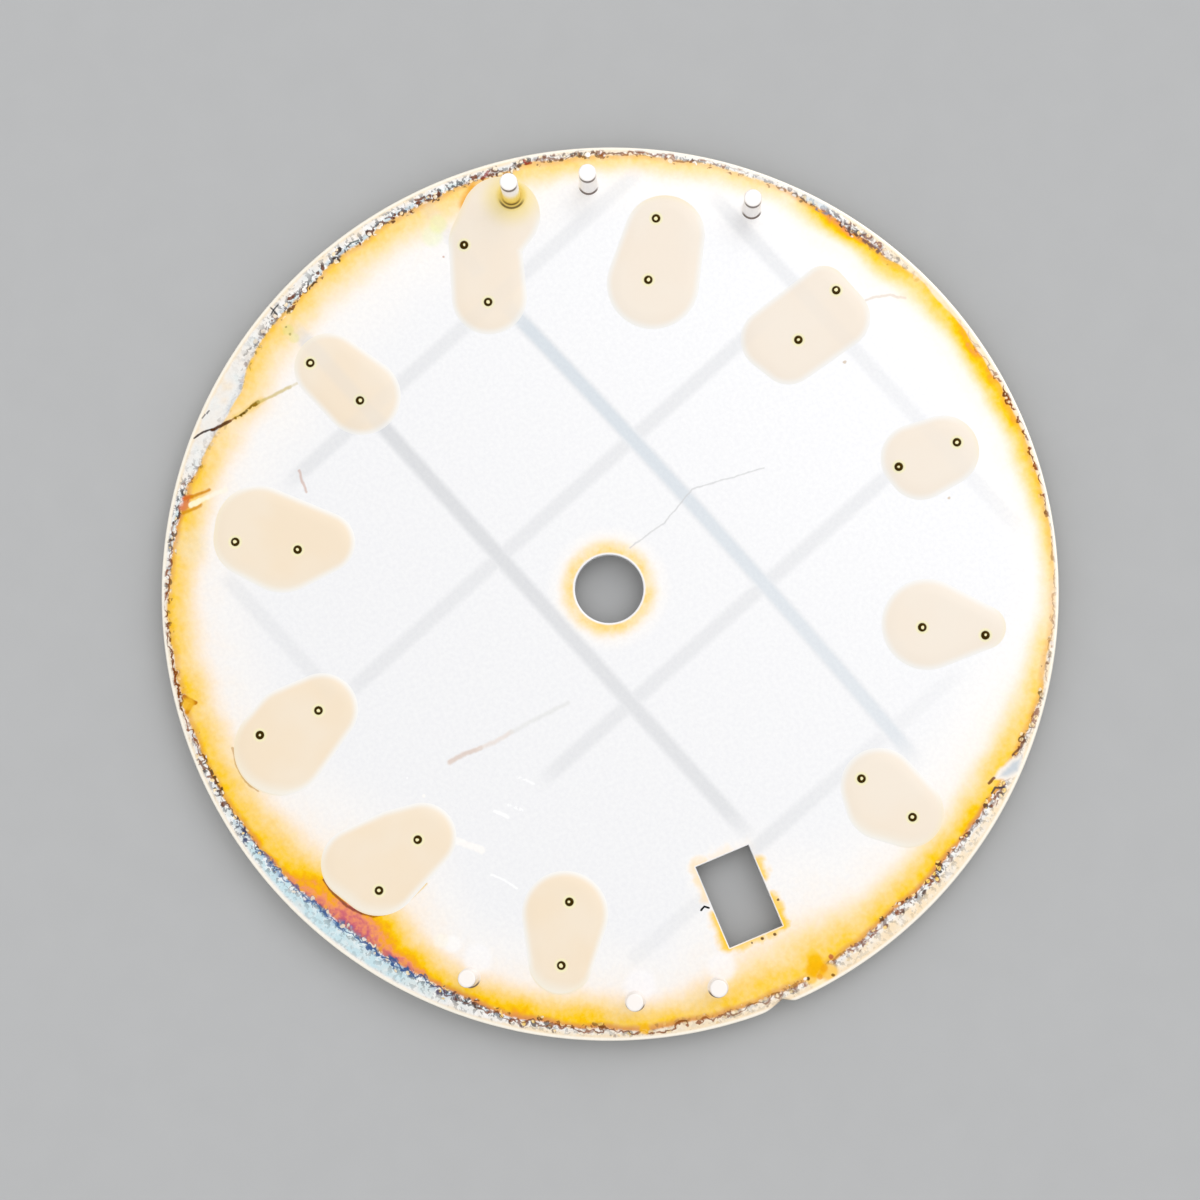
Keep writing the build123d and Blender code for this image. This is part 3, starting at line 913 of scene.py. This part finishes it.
# %% A stamped sheet
HOLE_SEGMENTS = 160
FOOT_HOLE_SEGMENTS = 24


def rounded(outer, top, bottom, radius):
    """A profile from the top of a sheet to its bottom, round at both edges."""
    steps = [math.radians(angle) for angle in (0, 30, 60, 90)]
    over = [(radius * (1 - math.sin(a)), top - radius * (1 - math.cos(a))) for a in steps]
    under = [(growth, top + bottom - height) for growth, height in reversed(over)]
    return [(-outer * growth, height) for growth, height in over + under]


def sheet(rim_r, top, bottom, edge, opening_edge, clearance, foot_holes):
    """A disc with the rim's notch, the hole, the window and, if wanted, the feet's holes."""
    bm = bmesh.new()
    hole_r = HOLE_R + clearance
    window_half = WINDOW / 2 + Vector((clearance, clearance))
    opening = rounded(-1, top, bottom, opening_edge)
    outlines = [(rim_loop(bm, rim_r, top), (0, 0), (rim_r, rim_r), rounded(1, top, bottom, edge))]
    hole = make_circle(bm, hole_r, height=top, segments=HOLE_SEGMENTS)
    outlines.append((hole, (0, 0), (hole_r, hole_r), opening))
    outlines.append((window_loop(bm, clearance, top), WINDOW_MID, window_half, opening))
    for place in foot_holes:
        hole = make_circle(bm, FOOT_HOLE_R, place, top, FOOT_HOLE_SEGMENTS)
        outlines.append((hole, place, (FOOT_HOLE_R, FOOT_HOLE_R), [(0, top), (0, bottom)]))
    firsts, lasts = [], []
    for loop, middle, half, profile in outlines:
        grow = [(size + profile[0][0]) / size for size in half]
        verts = list({vert for edge in loop for vert in edge.verts})
        to_middle = Matrix.Translation((-middle[0], -middle[1], 0))
        bmesh.ops.scale(bm, vec=(*grow, 1), space=to_middle, verts=verts)
        size_now = [size + profile[0][0] for size in half]
        steps = [(growth - profile[0][0], height) for growth, height in profile[1:]]
        firsts += loop
        lasts += carry_loop(bm, loop, middle, size_now, steps)
    for loops in (firsts, lasts):
        bmesh.ops.triangle_fill(bm, edges=loops, use_beauty=True)
        keep_sharp(loops)
    return bm


# %% Stamp the plate
def polar(radius, hour):
    """The place at a radius in the direction of an hour, as seen on this side."""
    angle = HOUR_STEP * hour
    return -radius * math.sin(angle), radius * math.cos(angle)


OPENING_EDGE = 0.03
foot_places = [polar(radius, hour) for hour in MARKER_HOURS for radius in FOOT_RADII]
plate_mesh = sheet(DIAL_R, 0.0, -PLATE_T, EDGE_BREAK, OPENING_EDGE, 0.0, foot_places)
plate = as_piece(plate_mesh, "plate_blank", "dial_plate", plating_material)
print("plate:", len(plate.data.vertices), "vertices,", len(foot_places), "foot holes")

# %% [markdown]
# ## The lacquered face
#
# The front isn't seen in the photograph. A little of its cream lacquer shows at the rim,
# so the face is ivory, with the fine sunray grain that is brushed into a dial before it is
# coated. The grain is noise that changes quickly with the angle and slowly with radius.

# %% Ivory sunray lacquer
def sunray(finish, place, rays, streak):
    """Noise in thin rays from the middle."""
    axes = finish.node("SeparateXYZ", {0: place}).outputs
    angle = finish.calc("ARCTAN2", axes["X"], axes["Y"])
    radius = finish.vector("LENGTH", flat(finish, place))
    spread = finish.node("CombineXYZ", {
        "X": finish.calc("MULTIPLY", finish.calc("SINE", angle), rays),
        "Y": finish.calc("MULTIPLY", finish.calc("COSINE", angle), rays),
        "Z": finish.calc("MULTIPLY", radius, streak)}).outputs[0]
    return finish.noise(spread, 1.0, 3)


def lacquer():
    finish = Finish("ivory_lacquer")
    rays = sunray(finish, finish.place(), 60.0, 0.25)
    colour = finish.mix(finish.fade(rays, 0.3, 0.7), shown(226, 217, 198), shown(242, 236, 222))
    finish.shade(Base_Color=colour, Roughness=0.32, Coat_Weight=0.6, Coat_Roughness=0.08)
    finish.bump(rays, 0.006, 0.5)
    return finish.material


COAT_CLEARANCE = 0.02
COAT_EDGE = 0.02
COAT_OPENING_EDGE = 0.015
coat_r = DIAL_R - EDGE_BREAK
coat_mesh = sheet(coat_r, coat_high.z, FACE_Z, COAT_EDGE, COAT_OPENING_EDGE, COAT_CLEARANCE, [])
face = as_piece(coat_mesh, "lacquered_face", "face_coat", lacquer())
print("face from", round(coat_high.z, 3), "to", round(FACE_Z, 3), "mm")

# %% [markdown]
# The printed minute track is right as the construction made it: sixty flat ticks of ink.
# It keeps its node and only gets a finish, with the slightly uneven black of pad printing.

# %% Ink for the minute track
def ink():
    finish = Finish("pad_printed_ink")
    place = finish.place()
    patchy = finish.noise(place, 5.0, 4)
    colour = finish.mix(patchy, shown(30, 31, 34), shown(56, 57, 60))
    finish.shade(Base_Color=colour, Roughness=finish.fade(patchy, 0.2, 0.8, 0.45, 0.6))
    finish.bump(patchy, 0.003, 0.4)
    return finish.material


track = frame["nodes"]["minute_track"]
track.data.materials.clear()
track.data.materials.append(ink())
print("minute track:", len(track.data.polygons), "faces of ink")

# %% [markdown]
# ## The applied hour markers
#
# A marker is a gilt baton with a facet cut along each edge. Two thin feet go through the
# plate and end just above the glue. Seen from the back, only the feet's tips show: a dark
# ring with a bright middle. The ring is a painted dark reflection on the rounded edge of the
# tip, and the middle a painted highlight.

# %% Gilt metal, with a painted dark ring and a painted highlight on each foot's tip
def foot_gap(finish, place):
    """The distance to the nearest foot. Feet repeat at every hour, so one hour will do."""
    axes = finish.node("SeparateXYZ", {0: place}).outputs
    angle = finish.calc("ARCTAN2", axes["X"], axes["Y"])
    nearest = finish.calc("SNAP", finish.calc("ADD", angle, HOUR_STEP / 2), HOUR_STEP)
    in_hour = finish.calc("SUBTRACT", angle, nearest)
    radius = finish.vector("LENGTH", flat(finish, place))
    here = finish.node("CombineXYZ", {
        "X": finish.calc("MULTIPLY", radius, finish.calc("SINE", in_hour)),
        "Y": finish.calc("MULTIPLY", radius, finish.calc("COSINE", in_hour))}).outputs[0]
    gaps = [finish.vector("DISTANCE", here, (0, foot_r, 0)) for foot_r in FOOT_RADII]
    return finish.calc("MINIMUM", *gaps)


def gilt():
    finish = Finish("gilt_metal")
    place = finish.place()
    height = finish.node("SeparateXYZ", {0: place}).outputs["Z"]
    brushed = finish.noise(finish.vector("MULTIPLY", place, (8, 8, 8)), 1.0, 3)
    metal = finish.mix(finish.fade(brushed, 0.3, 0.7), shown(226, 190, 122), shown(238, 206, 142))
    tip = finish.fade(height, 0.0, 0.02)
    ring_wobble = finish.fade(finish.noise(place, 5.0, 2), 0.3, 0.7, -0.022, 0.022)
    gap = finish.calc("ADD", foot_gap(finish, place), ring_wobble)
    # Painted light: a dark ring of painted reflection on the tip's edge, a painted highlight inside.
    ring = finish.fade(gap, 0.035, 0.060)
    tip_colour = finish.mix(ring, shown(255, 247, 196), shown(60, 42, 4))
    finish.shade(Base_Color=finish.mix(tip, metal, tip_colour), Metallic=1.0,
                 Roughness=finish.fade(brushed, 0.2, 0.8, 0.18, 0.28))
    finish.bump(brushed, 0.001, 0.3)
    return finish.material


# %% Shape the batons
BATON_FACET = 0.20
BATON_EDGE = 0.015
TIP_ROUND = 0.05
FOOT_SEGMENTS = 40
foot_top = box_mm("hour_marker_06")[1].z


def spin_to(bm, hour):
    """Turn what was drawn at 12 o'clock to its hour."""
    turn_by = Matrix.Rotation(HOUR_STEP * hour, 3, "Z")
    bmesh.ops.rotate(bm, cent=(0, 0, 0), matrix=turn_by, verts=list(bm.verts))


def bevel(bm, edges, width, segments):
    bmesh.ops.bevel(bm, geom=edges, offset=width, offset_type="OFFSET", segments=segments,
                    profile=0.5, affect="EDGES", material=-1)


def baton(hour):
    """The markers at 12 and 6 stand upright, so their boxes give the two sizes of baton."""
    low, high = box_mm("hour_marker_12" if hour == 12 else "hour_marker_06")
    bm = bmesh.new()
    body = bmesh.ops.create_cube(bm, size=1)["verts"]
    size = (high.x - low.x, abs(high.y - low.y), FACE_Z - low.z)
    bmesh.ops.scale(bm, vec=size, verts=body)
    middle_z = FACE_Z - size[2] / 2
    bmesh.ops.translate(bm, vec=(0, MARKER_MID_R, middle_z), verts=body)
    front = [edge for edge in bm.edges if all(vert.co.z < middle_z for vert in edge.verts)]
    bevel(bm, front, BATON_FACET, 1)
    bevel(bm, list(bm.edges), BATON_EDGE, 2)
    tip = [(-in_share * TIP_ROUND, foot_top - TIP_ROUND + up_share * TIP_ROUND)
           for in_share, up_share in ((0, 0), (0.10, 0.45), (0.45, 0.88), (1, 1))]
    for foot_r in FOOT_RADII:
        loop = make_circle(bm, MARKER_FOOT_R, (0, foot_r), FACE_Z, FOOT_SEGMENTS, cap=True)
        last = carry_loop(bm, loop, (0, foot_r), (MARKER_FOOT_R, MARKER_FOOT_R), tip)
        bmesh.ops.contextual_create(bm, geom=last)
    spin_to(bm, hour)
    return bm


gilt_material = gilt()
for hour in MARKER_HOURS:
    node = f"hour_marker_{hour:02d}"
    as_piece(baton(hour), f"baton_{hour:02d}", node, gilt_material)
print("batons:", len(MARKER_HOURS))

# %% [markdown]
# ## The posts
#
# The six posts are turned pins, welded to the plate. Each one flares where it was welded,
# and its tip is broken by a small round. They are plated like the plate, and painted shade
# darkens the side that faces the picture's lower side, in the corner at the foot and under
# the edge of the tip. The first three, at the picture's lower side, look a little warmer,
# and the one in the glue is yellow low down.

# %% Plated posts
PICTURE_DOWN = Vector((math.sin(PICTURE_TURN), math.cos(PICTURE_TURN), 0)) * -1
SHADE_STARTS = 0.42
SHADE_FULL = 0.20
SHADE_ENDS = (0.06, 0.03)
SHADE_AT_FOOT = 0.10
GLUED_POST = 4
YELLOW_FADES = (0.7, 1.5)
POST_METAL = (shown(252, 248, 246), shown(254, 252, 250))
LOWER_POSTS = shown(247, 242, 238)
POST_SHADE = shown(96, 74, 62)
YELLOWED_POST = shown(252, 232, 140)


def post_plating(number):
    """The plating of one post, whose painted shade follows its own height."""
    finish = Finish(f"post_plating_{number}")
    place = finish.place()
    height = finish.node("SeparateXYZ", {0: place}).outputs["Z"]
    way = finish.vector("SUBTRACT", flat(finish, place), (*post_places[number], 0))
    # Painted shade: darker on the picture-down side, under the tip's edge and at the foot.
    facing = finish.fade(finish.vector("DOT_PRODUCT", way, PICTURE_DOWN / POST_R), 0.15, 0.75)
    top = post_tops[number]
    starts = finish.fade(height, top - SHADE_STARTS, top - SHADE_FULL)
    ends = finish.fade(height, *(top - below for below in SHADE_ENDS), 1, 0)
    under_tip = finish.calc("MULTIPLY", starts, ends)
    at_foot = finish.fade(height, SHADE_AT_FOOT * 0.4, SHADE_AT_FOOT, 1, 0)
    darkening = finish.calc("MULTIPLY", finish.calc("MAXIMUM", under_tip, at_foot), facing)
    turned = finish.noise(finish.vector("MULTIPLY", place, (2, 2, 30)), 1.0, 3)
    metal = finish.mix(finish.fade(turned, 0.3, 0.7), *POST_METAL)
    if number < GLUED_POST:
        metal = finish.mix(0.9, metal, LOWER_POSTS)
    if number == GLUED_POST:
        metal = finish.mix(finish.fade(height, *YELLOW_FADES, 1, 0), metal, YELLOWED_POST)
    colour = finish.mix(finish.calc("MULTIPLY", darkening, 0.85), metal, POST_SHADE)
    satin = finish.fade(turned, 0.2, 0.8, 0.55, 0.65)
    finish.shade(Base_Color=colour, Metallic=1.0, Roughness=satin)
    finish.bump(turned, 0.002, 0.4)
    return finish.material


# %% Turn the posts
WELD_FLARE = 0.05
WELD_HEIGHT = 0.08
TIP_BREAK = 0.05
POST_SEGMENTS = 72


def post(number):
    middle = post_places[number]
    top = post_tops[number]
    weld_r = POST_R + WELD_FLARE
    bm = bmesh.new()
    loop = make_circle(bm, weld_r, middle, 0.0, POST_SEGMENTS, cap=True)
    flare = [(WELD_FLARE * (1 - share) ** 2, WELD_HEIGHT * share)
             for share in (0.25, 0.5, 0.75, 1.0)]
    tip = [(-TIP_BREAK * (1 - math.cos(a)), top - TIP_BREAK * (1 - math.sin(a)))
           for a in (0, math.radians(30), math.radians(60), math.radians(90))]
    steps = [(growth - WELD_FLARE, height) for growth, height in flare + tip]
    last = carry_loop(bm, loop, middle, (weld_r, weld_r), steps)
    bmesh.ops.contextual_create(bm, geom=last)
    keep_sharp(last)
    return bm


for number in POSTS:
    finish_of_post = post_plating(number)
    as_piece(post(number), f"post_{number}", f"dial_foot_{number}", finish_of_post)
print("posts:", len(POSTS), "of heights", [round(post_tops[n], 2) for n in POSTS])

# %% [markdown]
# ## The dabs of glue
#
# Each marker is held by a drop of cream adhesive that ran a little before it set. Its
# outline is a skin stretched round a few circles. For every direction, the point of that
# skin is the furthest point of any circle, so we take a round loop and push each vertex
# to it. Drawing the circles in a little at each step gives the domed edge.

# %% The drops, as the construction has them
HALF_PITCH = (FOOT_RADII[1] - FOOT_RADII[0]) / 2
DROPS = {
    # outwards, sideways and radius of each circle, in half pitches of the feet
    1: [[(-1.15, -0.05, 1.08), (-0.35, 0.30, 1.30), (0.60, 0.35, 1.32), (0.75, 1.05, 1.16)]],
    2: [[(-0.60, 0.09, 1.36), (0.90, 0.03, 1.02)]],
    4: [[(-0.40, -0.15, 1.22), (0.00, 0.15, 1.22), (0.80, -0.05, 1.12)]],
    5: [[(-0.85, -0.12, 1.44), (0.93, -0.25, 0.70)]],
    6: [[(0.50, 0.08, 1.14), (-0.35, 0.25, 1.07), (-0.40, -0.05, 1.10)]],
    7: [[(0.82, -0.35, 0.74), (0.35, 0.57, 1.02), (-1.45, -0.65, 1.04), (-1.55, 0.03, 0.96)]],
    8: [[(0.52, 0.33, 1.29), (-1.08, 0.16, 1.47)]],
    9: [[(1.45, 1.45, 1.26), (0.85, 0.65, 1.16)], [(0.85, 0.65, 1.16), (-0.85, 0.10, 1.20)]],
    10: [[(0.45, 0.25, 1.11), (-0.95, 0.15, 1.24)]],
    11: [[(0.35, 0.52, 1.38), (0.45, 0.20, 1.28), (-0.50, 0.10, 1.52), (-1.80, 0.34, 0.98)]],
    12: [[(-1.10, 0.00, 1.15), (0.00, -0.15, 1.30), (0.57, -0.65, 1.48)]],
}
DROP_T = 0.12
DROP_SHOULDER = 0.55
DROP_STEPS = 8
DROP_SEGMENTS = 180


def skin_point(circles, direction, inset):
    """The furthest point that way of circles that are all drawn in by inset."""
    middle, radius = max(circles, key=lambda circle: circle[0].dot(direction) + circle[1])
    return middle + direction * (radius - inset)


def drop(group):
    """One domed drop, drawn as if at 12 o'clock."""
    marker_middle = Vector((0, MARKER_MID_R))
    circles = [(Vector((side, out)) * HALF_PITCH + marker_middle, radius * HALF_PITCH)
               for out, side, radius in group]
    bm = bmesh.new()
    loop = make_circle(bm, 1.0, segments=DROP_SEGMENTS, cap=True)
    ways = {vert: vert.co.xy.normalized() for vert in bm.verts}
    for vert, way in ways.items():
        vert.co.xy = skin_point(circles, way, 0)
    for step in range(1, DROP_STEPS + 1):
        share = step / DROP_STEPS
        height = DROP_T * (1 - (1 - share) ** 2)
        loop, verts = extrude_loop(bm, loop)
        parents = {vert: edge.other_vert(vert) for vert in verts for edge in vert.link_edges
                   if edge.other_vert(vert) not in verts}
        ways = {vert: ways[parent] for vert, parent in parents.items()}
        for vert, way in ways.items():
            vert.co = (*skin_point(circles, way, share * DROP_SHOULDER), height)
    bmesh.ops.contextual_create(bm, geom=loop)
    bmesh.ops.recalc_face_normals(bm, faces=bm.faces)
    return bm


# %% [markdown]
# Where a post stands in the glue, the drop has crept up round it in a collar, and two
# drops have run together. Those shapes are joined with Boolean modifiers, which leaves
# one closed skin with no walls inside the glue.

# %% Join drops that ran together
COLLAR_R = 0.42
COLLAR_H = 0.20
COLLAR_SHARES = (0.15, 0.35, 0.6, 0.8, 1.0)
COLLARED_DROP = 9


def collar(middle):
    """The glue that crept up round a post, in a hollow curve."""
    bm = bmesh.new()
    loop = make_circle(bm, COLLAR_R, middle, DROP_T * 0.5, POST_SEGMENTS, cap=True)
    steps = [(0, DROP_T * 0.95)]
    for share in COLLAR_SHARES:
        steps.append(((POST_R - COLLAR_R) * share * 0.98, DROP_T + COLLAR_H * share**2))
    last = carry_loop(bm, loop, middle, (COLLAR_R, COLLAR_R), steps)
    bmesh.ops.contextual_create(bm, geom=last)
    bmesh.ops.recalc_face_normals(bm, faces=bm.faces)
    return bm


def joined(meshes):
    """One closed skin round several meshes."""
    shapes = []
    for bm in meshes:
        mesh = bpy.data.meshes.new("part_of_a_drop")
        bm.to_mesh(mesh)
        bm.free()
        shapes.append(bpy.data.objects.new("part_of_a_drop", mesh))
        bpy.context.scene.collection.objects.link(shapes[-1])
    for other in shapes[1:]:
        join = shapes[0].modifiers.new("join", "BOOLEAN")
        join.operation = "UNION"
        join.solver = "EXACT"
        join.object = other
    graph = bpy.context.evaluated_depsgraph_get()
    bm = bmesh.new()
    bm.from_mesh(bpy.data.meshes.new_from_object(shapes[0].evaluated_get(graph)))
    for shape in shapes:
        bpy.data.objects.remove(shape)
    return bm


# %% [markdown]
# Cured adhesive is a milky cream. It is palest at its thin edge, where it ends almost in
# the plate's own colour, so the tint follows the height inside the drop. The drops at the
# picture's lower left have aged more. Light from the top of the picture, a little from the
# right, gathers along the lower side of the drops at the bottom, in a pale crescent. Round
# the post that stands in the glue it is thicker and has yellowed, with two crescents of
# painted shade on the post's side towards the picture's bottom.

# %% Cream adhesive
LIGHT_GATHERS = Vector((-0.35, -0.94, 0))
LIGHT_GATHERS.rotate(turn.to_quaternion())
OLDER_SIDE = Vector((-0.8, -0.6, 0))
OLDER_SIDE.rotate(turn.to_quaternion())
YELLOW_REACH = 2.0
YELLOW_COLOURS = [
    # share of the reach, colour
    (0.15, shown(232, 196, 84)), (0.21, shown(246, 220, 124)), (0.27, shown(250, 232, 176)),
    (0.60, shown(250, 238, 220)),
]
SHADE_CRESCENTS = ((0.405, 0.05), (0.315, 0.03))  # radius and width in mm
CRESCENT_SHADE = shown(98, 74, 8)


def yellowed(finish, low, cream):
    """The yellow glue round the post that stands in a drop, with two crescents of painted shade."""
    way = finish.vector("SUBTRACT", low, (*post_places[GLUED_POST], 0))
    gap = finish.vector("LENGTH", way)
    tint = finish.ramp(finish.calc("DIVIDE", gap, YELLOW_REACH), YELLOW_COLOURS)
    cream = finish.mix(finish.fade(gap, 0.6, 1.4, 1, 0), cream, tint)
    facing = finish.fade(finish.vector("DOT_PRODUCT", way, PICTURE_DOWN / POST_R), 0.15, 1.1)
    # Painted shade: two dark crescents on the picture-down side of the post.
    for radius, width in SHADE_CRESCENTS:
        off_ring = finish.calc("ABSOLUTE", finish.calc("SUBTRACT", gap, radius))
        ring = finish.calc("MULTIPLY", finish.fade(off_ring, width * 0.3, width, 0.9, 0), facing)
        cream = finish.mix(ring, cream, CRESCENT_SHADE)
    return cream


CREAM = shown(251, 238, 222)
AGED_CREAM = shown(250, 231, 204)
MILKY = shown(250, 244, 234)
THIN_ON_PLATE = shown(252, 250, 246)
THIN_ON_FILM = shown(253, 238, 208)
LIT_SIDE = shown(255, 251, 240)
ROUND_A_FOOT = shown(255, 248, 200)
FOOT_GAP_SHADE = shown(110, 90, 36)


def adhesive():
    finish = Finish("cream_adhesive")
    place = finish.place()
    low = flat(finish, place)
    height = finish.node("SeparateXYZ", {0: place}).outputs["Z"]
    cloudy = finish.noise(low, 0.45, 2)
    aged = finish.fade(finish.vector("DOT_PRODUCT", low, OLDER_SIDE), -9, 9)
    cream = finish.mix(aged, CREAM, AGED_CREAM)
    cream = finish.mix(finish.fade(cloudy, 0.35, 0.65, 0, 0.25), cream, MILKY)
    thick = finish.fade(height, 0.0, 0.085)
    on_film = finish.fade(finish.vector("LENGTH", low), DIAL_R - 2.4, DIAL_R - 1.3)
    below = finish.mix(on_film, THIN_ON_PLATE, THIN_ON_FILM)
    cream = finish.mix(thick, below, cream)
    normal = finish.node("NewGeometry").outputs["Normal"]
    lower_side = finish.fade(finish.vector("DOT_PRODUCT", normal, LIGHT_GATHERS), 0.05, 0.40)
    in_slope = finish.fade(height, 0.005, 0.03)
    low_on_dial = finish.fade(finish.vector("DOT_PRODUCT", low, LIGHT_GATHERS), 2.0, 5.5)
    gathered = finish.calc("MULTIPLY", finish.calc("MULTIPLY", lower_side, in_slope), low_on_dial)
    cream = finish.mix(finish.calc("MULTIPLY", gathered, 0.7), cream, LIT_SIDE)
    to_foot = foot_gap(finish, place)
    cream = finish.mix(finish.fade(to_foot, 0.16, 0.26, 0.9, 0), cream, ROUND_A_FOOT)
    # Painted shade: a thin dark line in the glue right round each foot.
    cream = finish.mix(finish.fade(to_foot, 0.14, 0.155, 0.5, 0), cream, FOOT_GAP_SHADE)
    cream = yellowed(finish, low, cream)
    # The painted reflection of the lattice shows faintly on the glue as well.
    bands, band_tint = lattice_reflection(finish, low)
    cream = finish.mix(finish.calc("MULTIPLY", bands, 0.2), cream, band_tint)
    finish.shade(Base_Color=cream, Roughness=0.34, IOR=1.45)
    finish.bump(cloudy, 0.02, 0.25)
    return finish.material


adhesive_material = adhesive()
for hour in MARKER_HOURS:
    parts = [drop(group) for group in DROPS[hour]]
    for part in parts:
        spin_to(part, hour)
    if hour == COLLARED_DROP:
        parts.append(collar(post_places[GLUED_POST]))
    whole = joined(parts) if len(parts) > 1 else parts[0]
    node = f"adhesive_dab_{hour:02d}"
    as_piece(whole, f"glue_drop_{hour:02d}", node, adhesive_material)
print("drops of glue:", len(DROPS))

# %% [markdown]
# ## Floor and light
#
# The floor is plain and pale, level with the front of the markers that the dial rests on.
# The world is a soft even white. Metal has to reflect something bright to look white, so
# the world is a little brighter for reflections than for the light that it gives. One
# soft lamp stands above the picture's upper right, so that side is a little brighter.

# %% Floor
def floor_finish():
    finish = Finish("plain_floor")
    fine = finish.noise(finish.place(), 0.8, 3)
    colour = finish.mix(fine, shown(186, 187, 188), shown(190, 191, 192))
    finish.shade(Base_Color=colour, Roughness=0.9)
    return finish.material


FLOOR_R = 1.2  # in metres, like the height of the floor
floor_z = cad_box[0].z
bm = bmesh.new()
at_floor = Matrix.Translation((0, 0, floor_z))
bmesh.ops.create_circle(bm, cap_ends=True, segments=64, radius=FLOOR_R, matrix=at_floor)
floor_mesh = bpy.data.meshes.new("floor")
bm.to_mesh(floor_mesh)
bm.free()
floor_mesh.materials.append(floor_finish())
floor = bpy.data.objects.new("floor", floor_mesh)
bpy.context.scene.collection.objects.link(floor)
floor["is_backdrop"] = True
print("floor at", round(floor_z / MM, 3), "mm")

# %% World and lamp
WORLD_LIGHT = 0.86
WORLD_SEEN = 0.98
world = bpy.data.worlds.new("studio")
bpy.context.scene.world = world
world.use_nodes = True
sky = world.node_tree
rays = sky.nodes.new("ShaderNodeLightPath").outputs
seen = rays["Is Camera Ray"]
for kind in ("Is Glossy Ray", "Is Transmission Ray"):
    either = sky.nodes.new("ShaderNodeMath")
    either.operation = "MAXIMUM"
    sky.links.new(seen, either.inputs[0])
    sky.links.new(rays[kind], either.inputs[1])
    seen = either.outputs[0]
level = sky.nodes.new("ShaderNodeMapRange")
level.inputs["To Min"].default_value = WORLD_LIGHT
level.inputs["To Max"].default_value = WORLD_SEEN
sky.links.new(seen, level.inputs["Value"])
sky.links.new(level.outputs[0], sky.nodes["Background"].inputs["Strength"])
sky.nodes["Background"].inputs["Color"].default_value = (1, 1, 1, 1)


def lamp(name, direction, height, distance, size, watts):
    """A soft square lamp, in a direction of the picture in degrees clockwise from up."""
    data = bpy.data.lights.new(name, "AREA")
    data.size = size
    data.energy = watts
    lamp_object = bpy.data.objects.new(name, data)
    bpy.context.scene.collection.objects.link(lamp_object)
    angle = math.radians(direction)
    rise = math.radians(height)
    way = Vector((math.sin(angle), math.cos(angle), math.tan(rise))).normalized()
    way.rotate(turn.to_quaternion())
    lamp_object.location = way * distance
    lamp_object.rotation_euler = way.to_track_quat("Z", "Y").to_euler()
    print(name, "at", [round(c, 2) for c in lamp_object.location])


lamp("key", direction=40, height=50, distance=0.60, size=0.40, watts=0.60)
bpy.context.scene.view_settings.view_transform = "Standard"

# %% [markdown]
# ## The size of the part
#
# The looks must not change the size of the part, so both boxes are printed.

# %% Print the sizes
made_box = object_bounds()
sizes = {"cad": [list(corner) for corner in cad_box], "visual": [list(corner) for corner in made_box]}
for name, corners in sizes.items():
    print(name, [[round(c / MM, 3) for c in corner] for corner in corners])
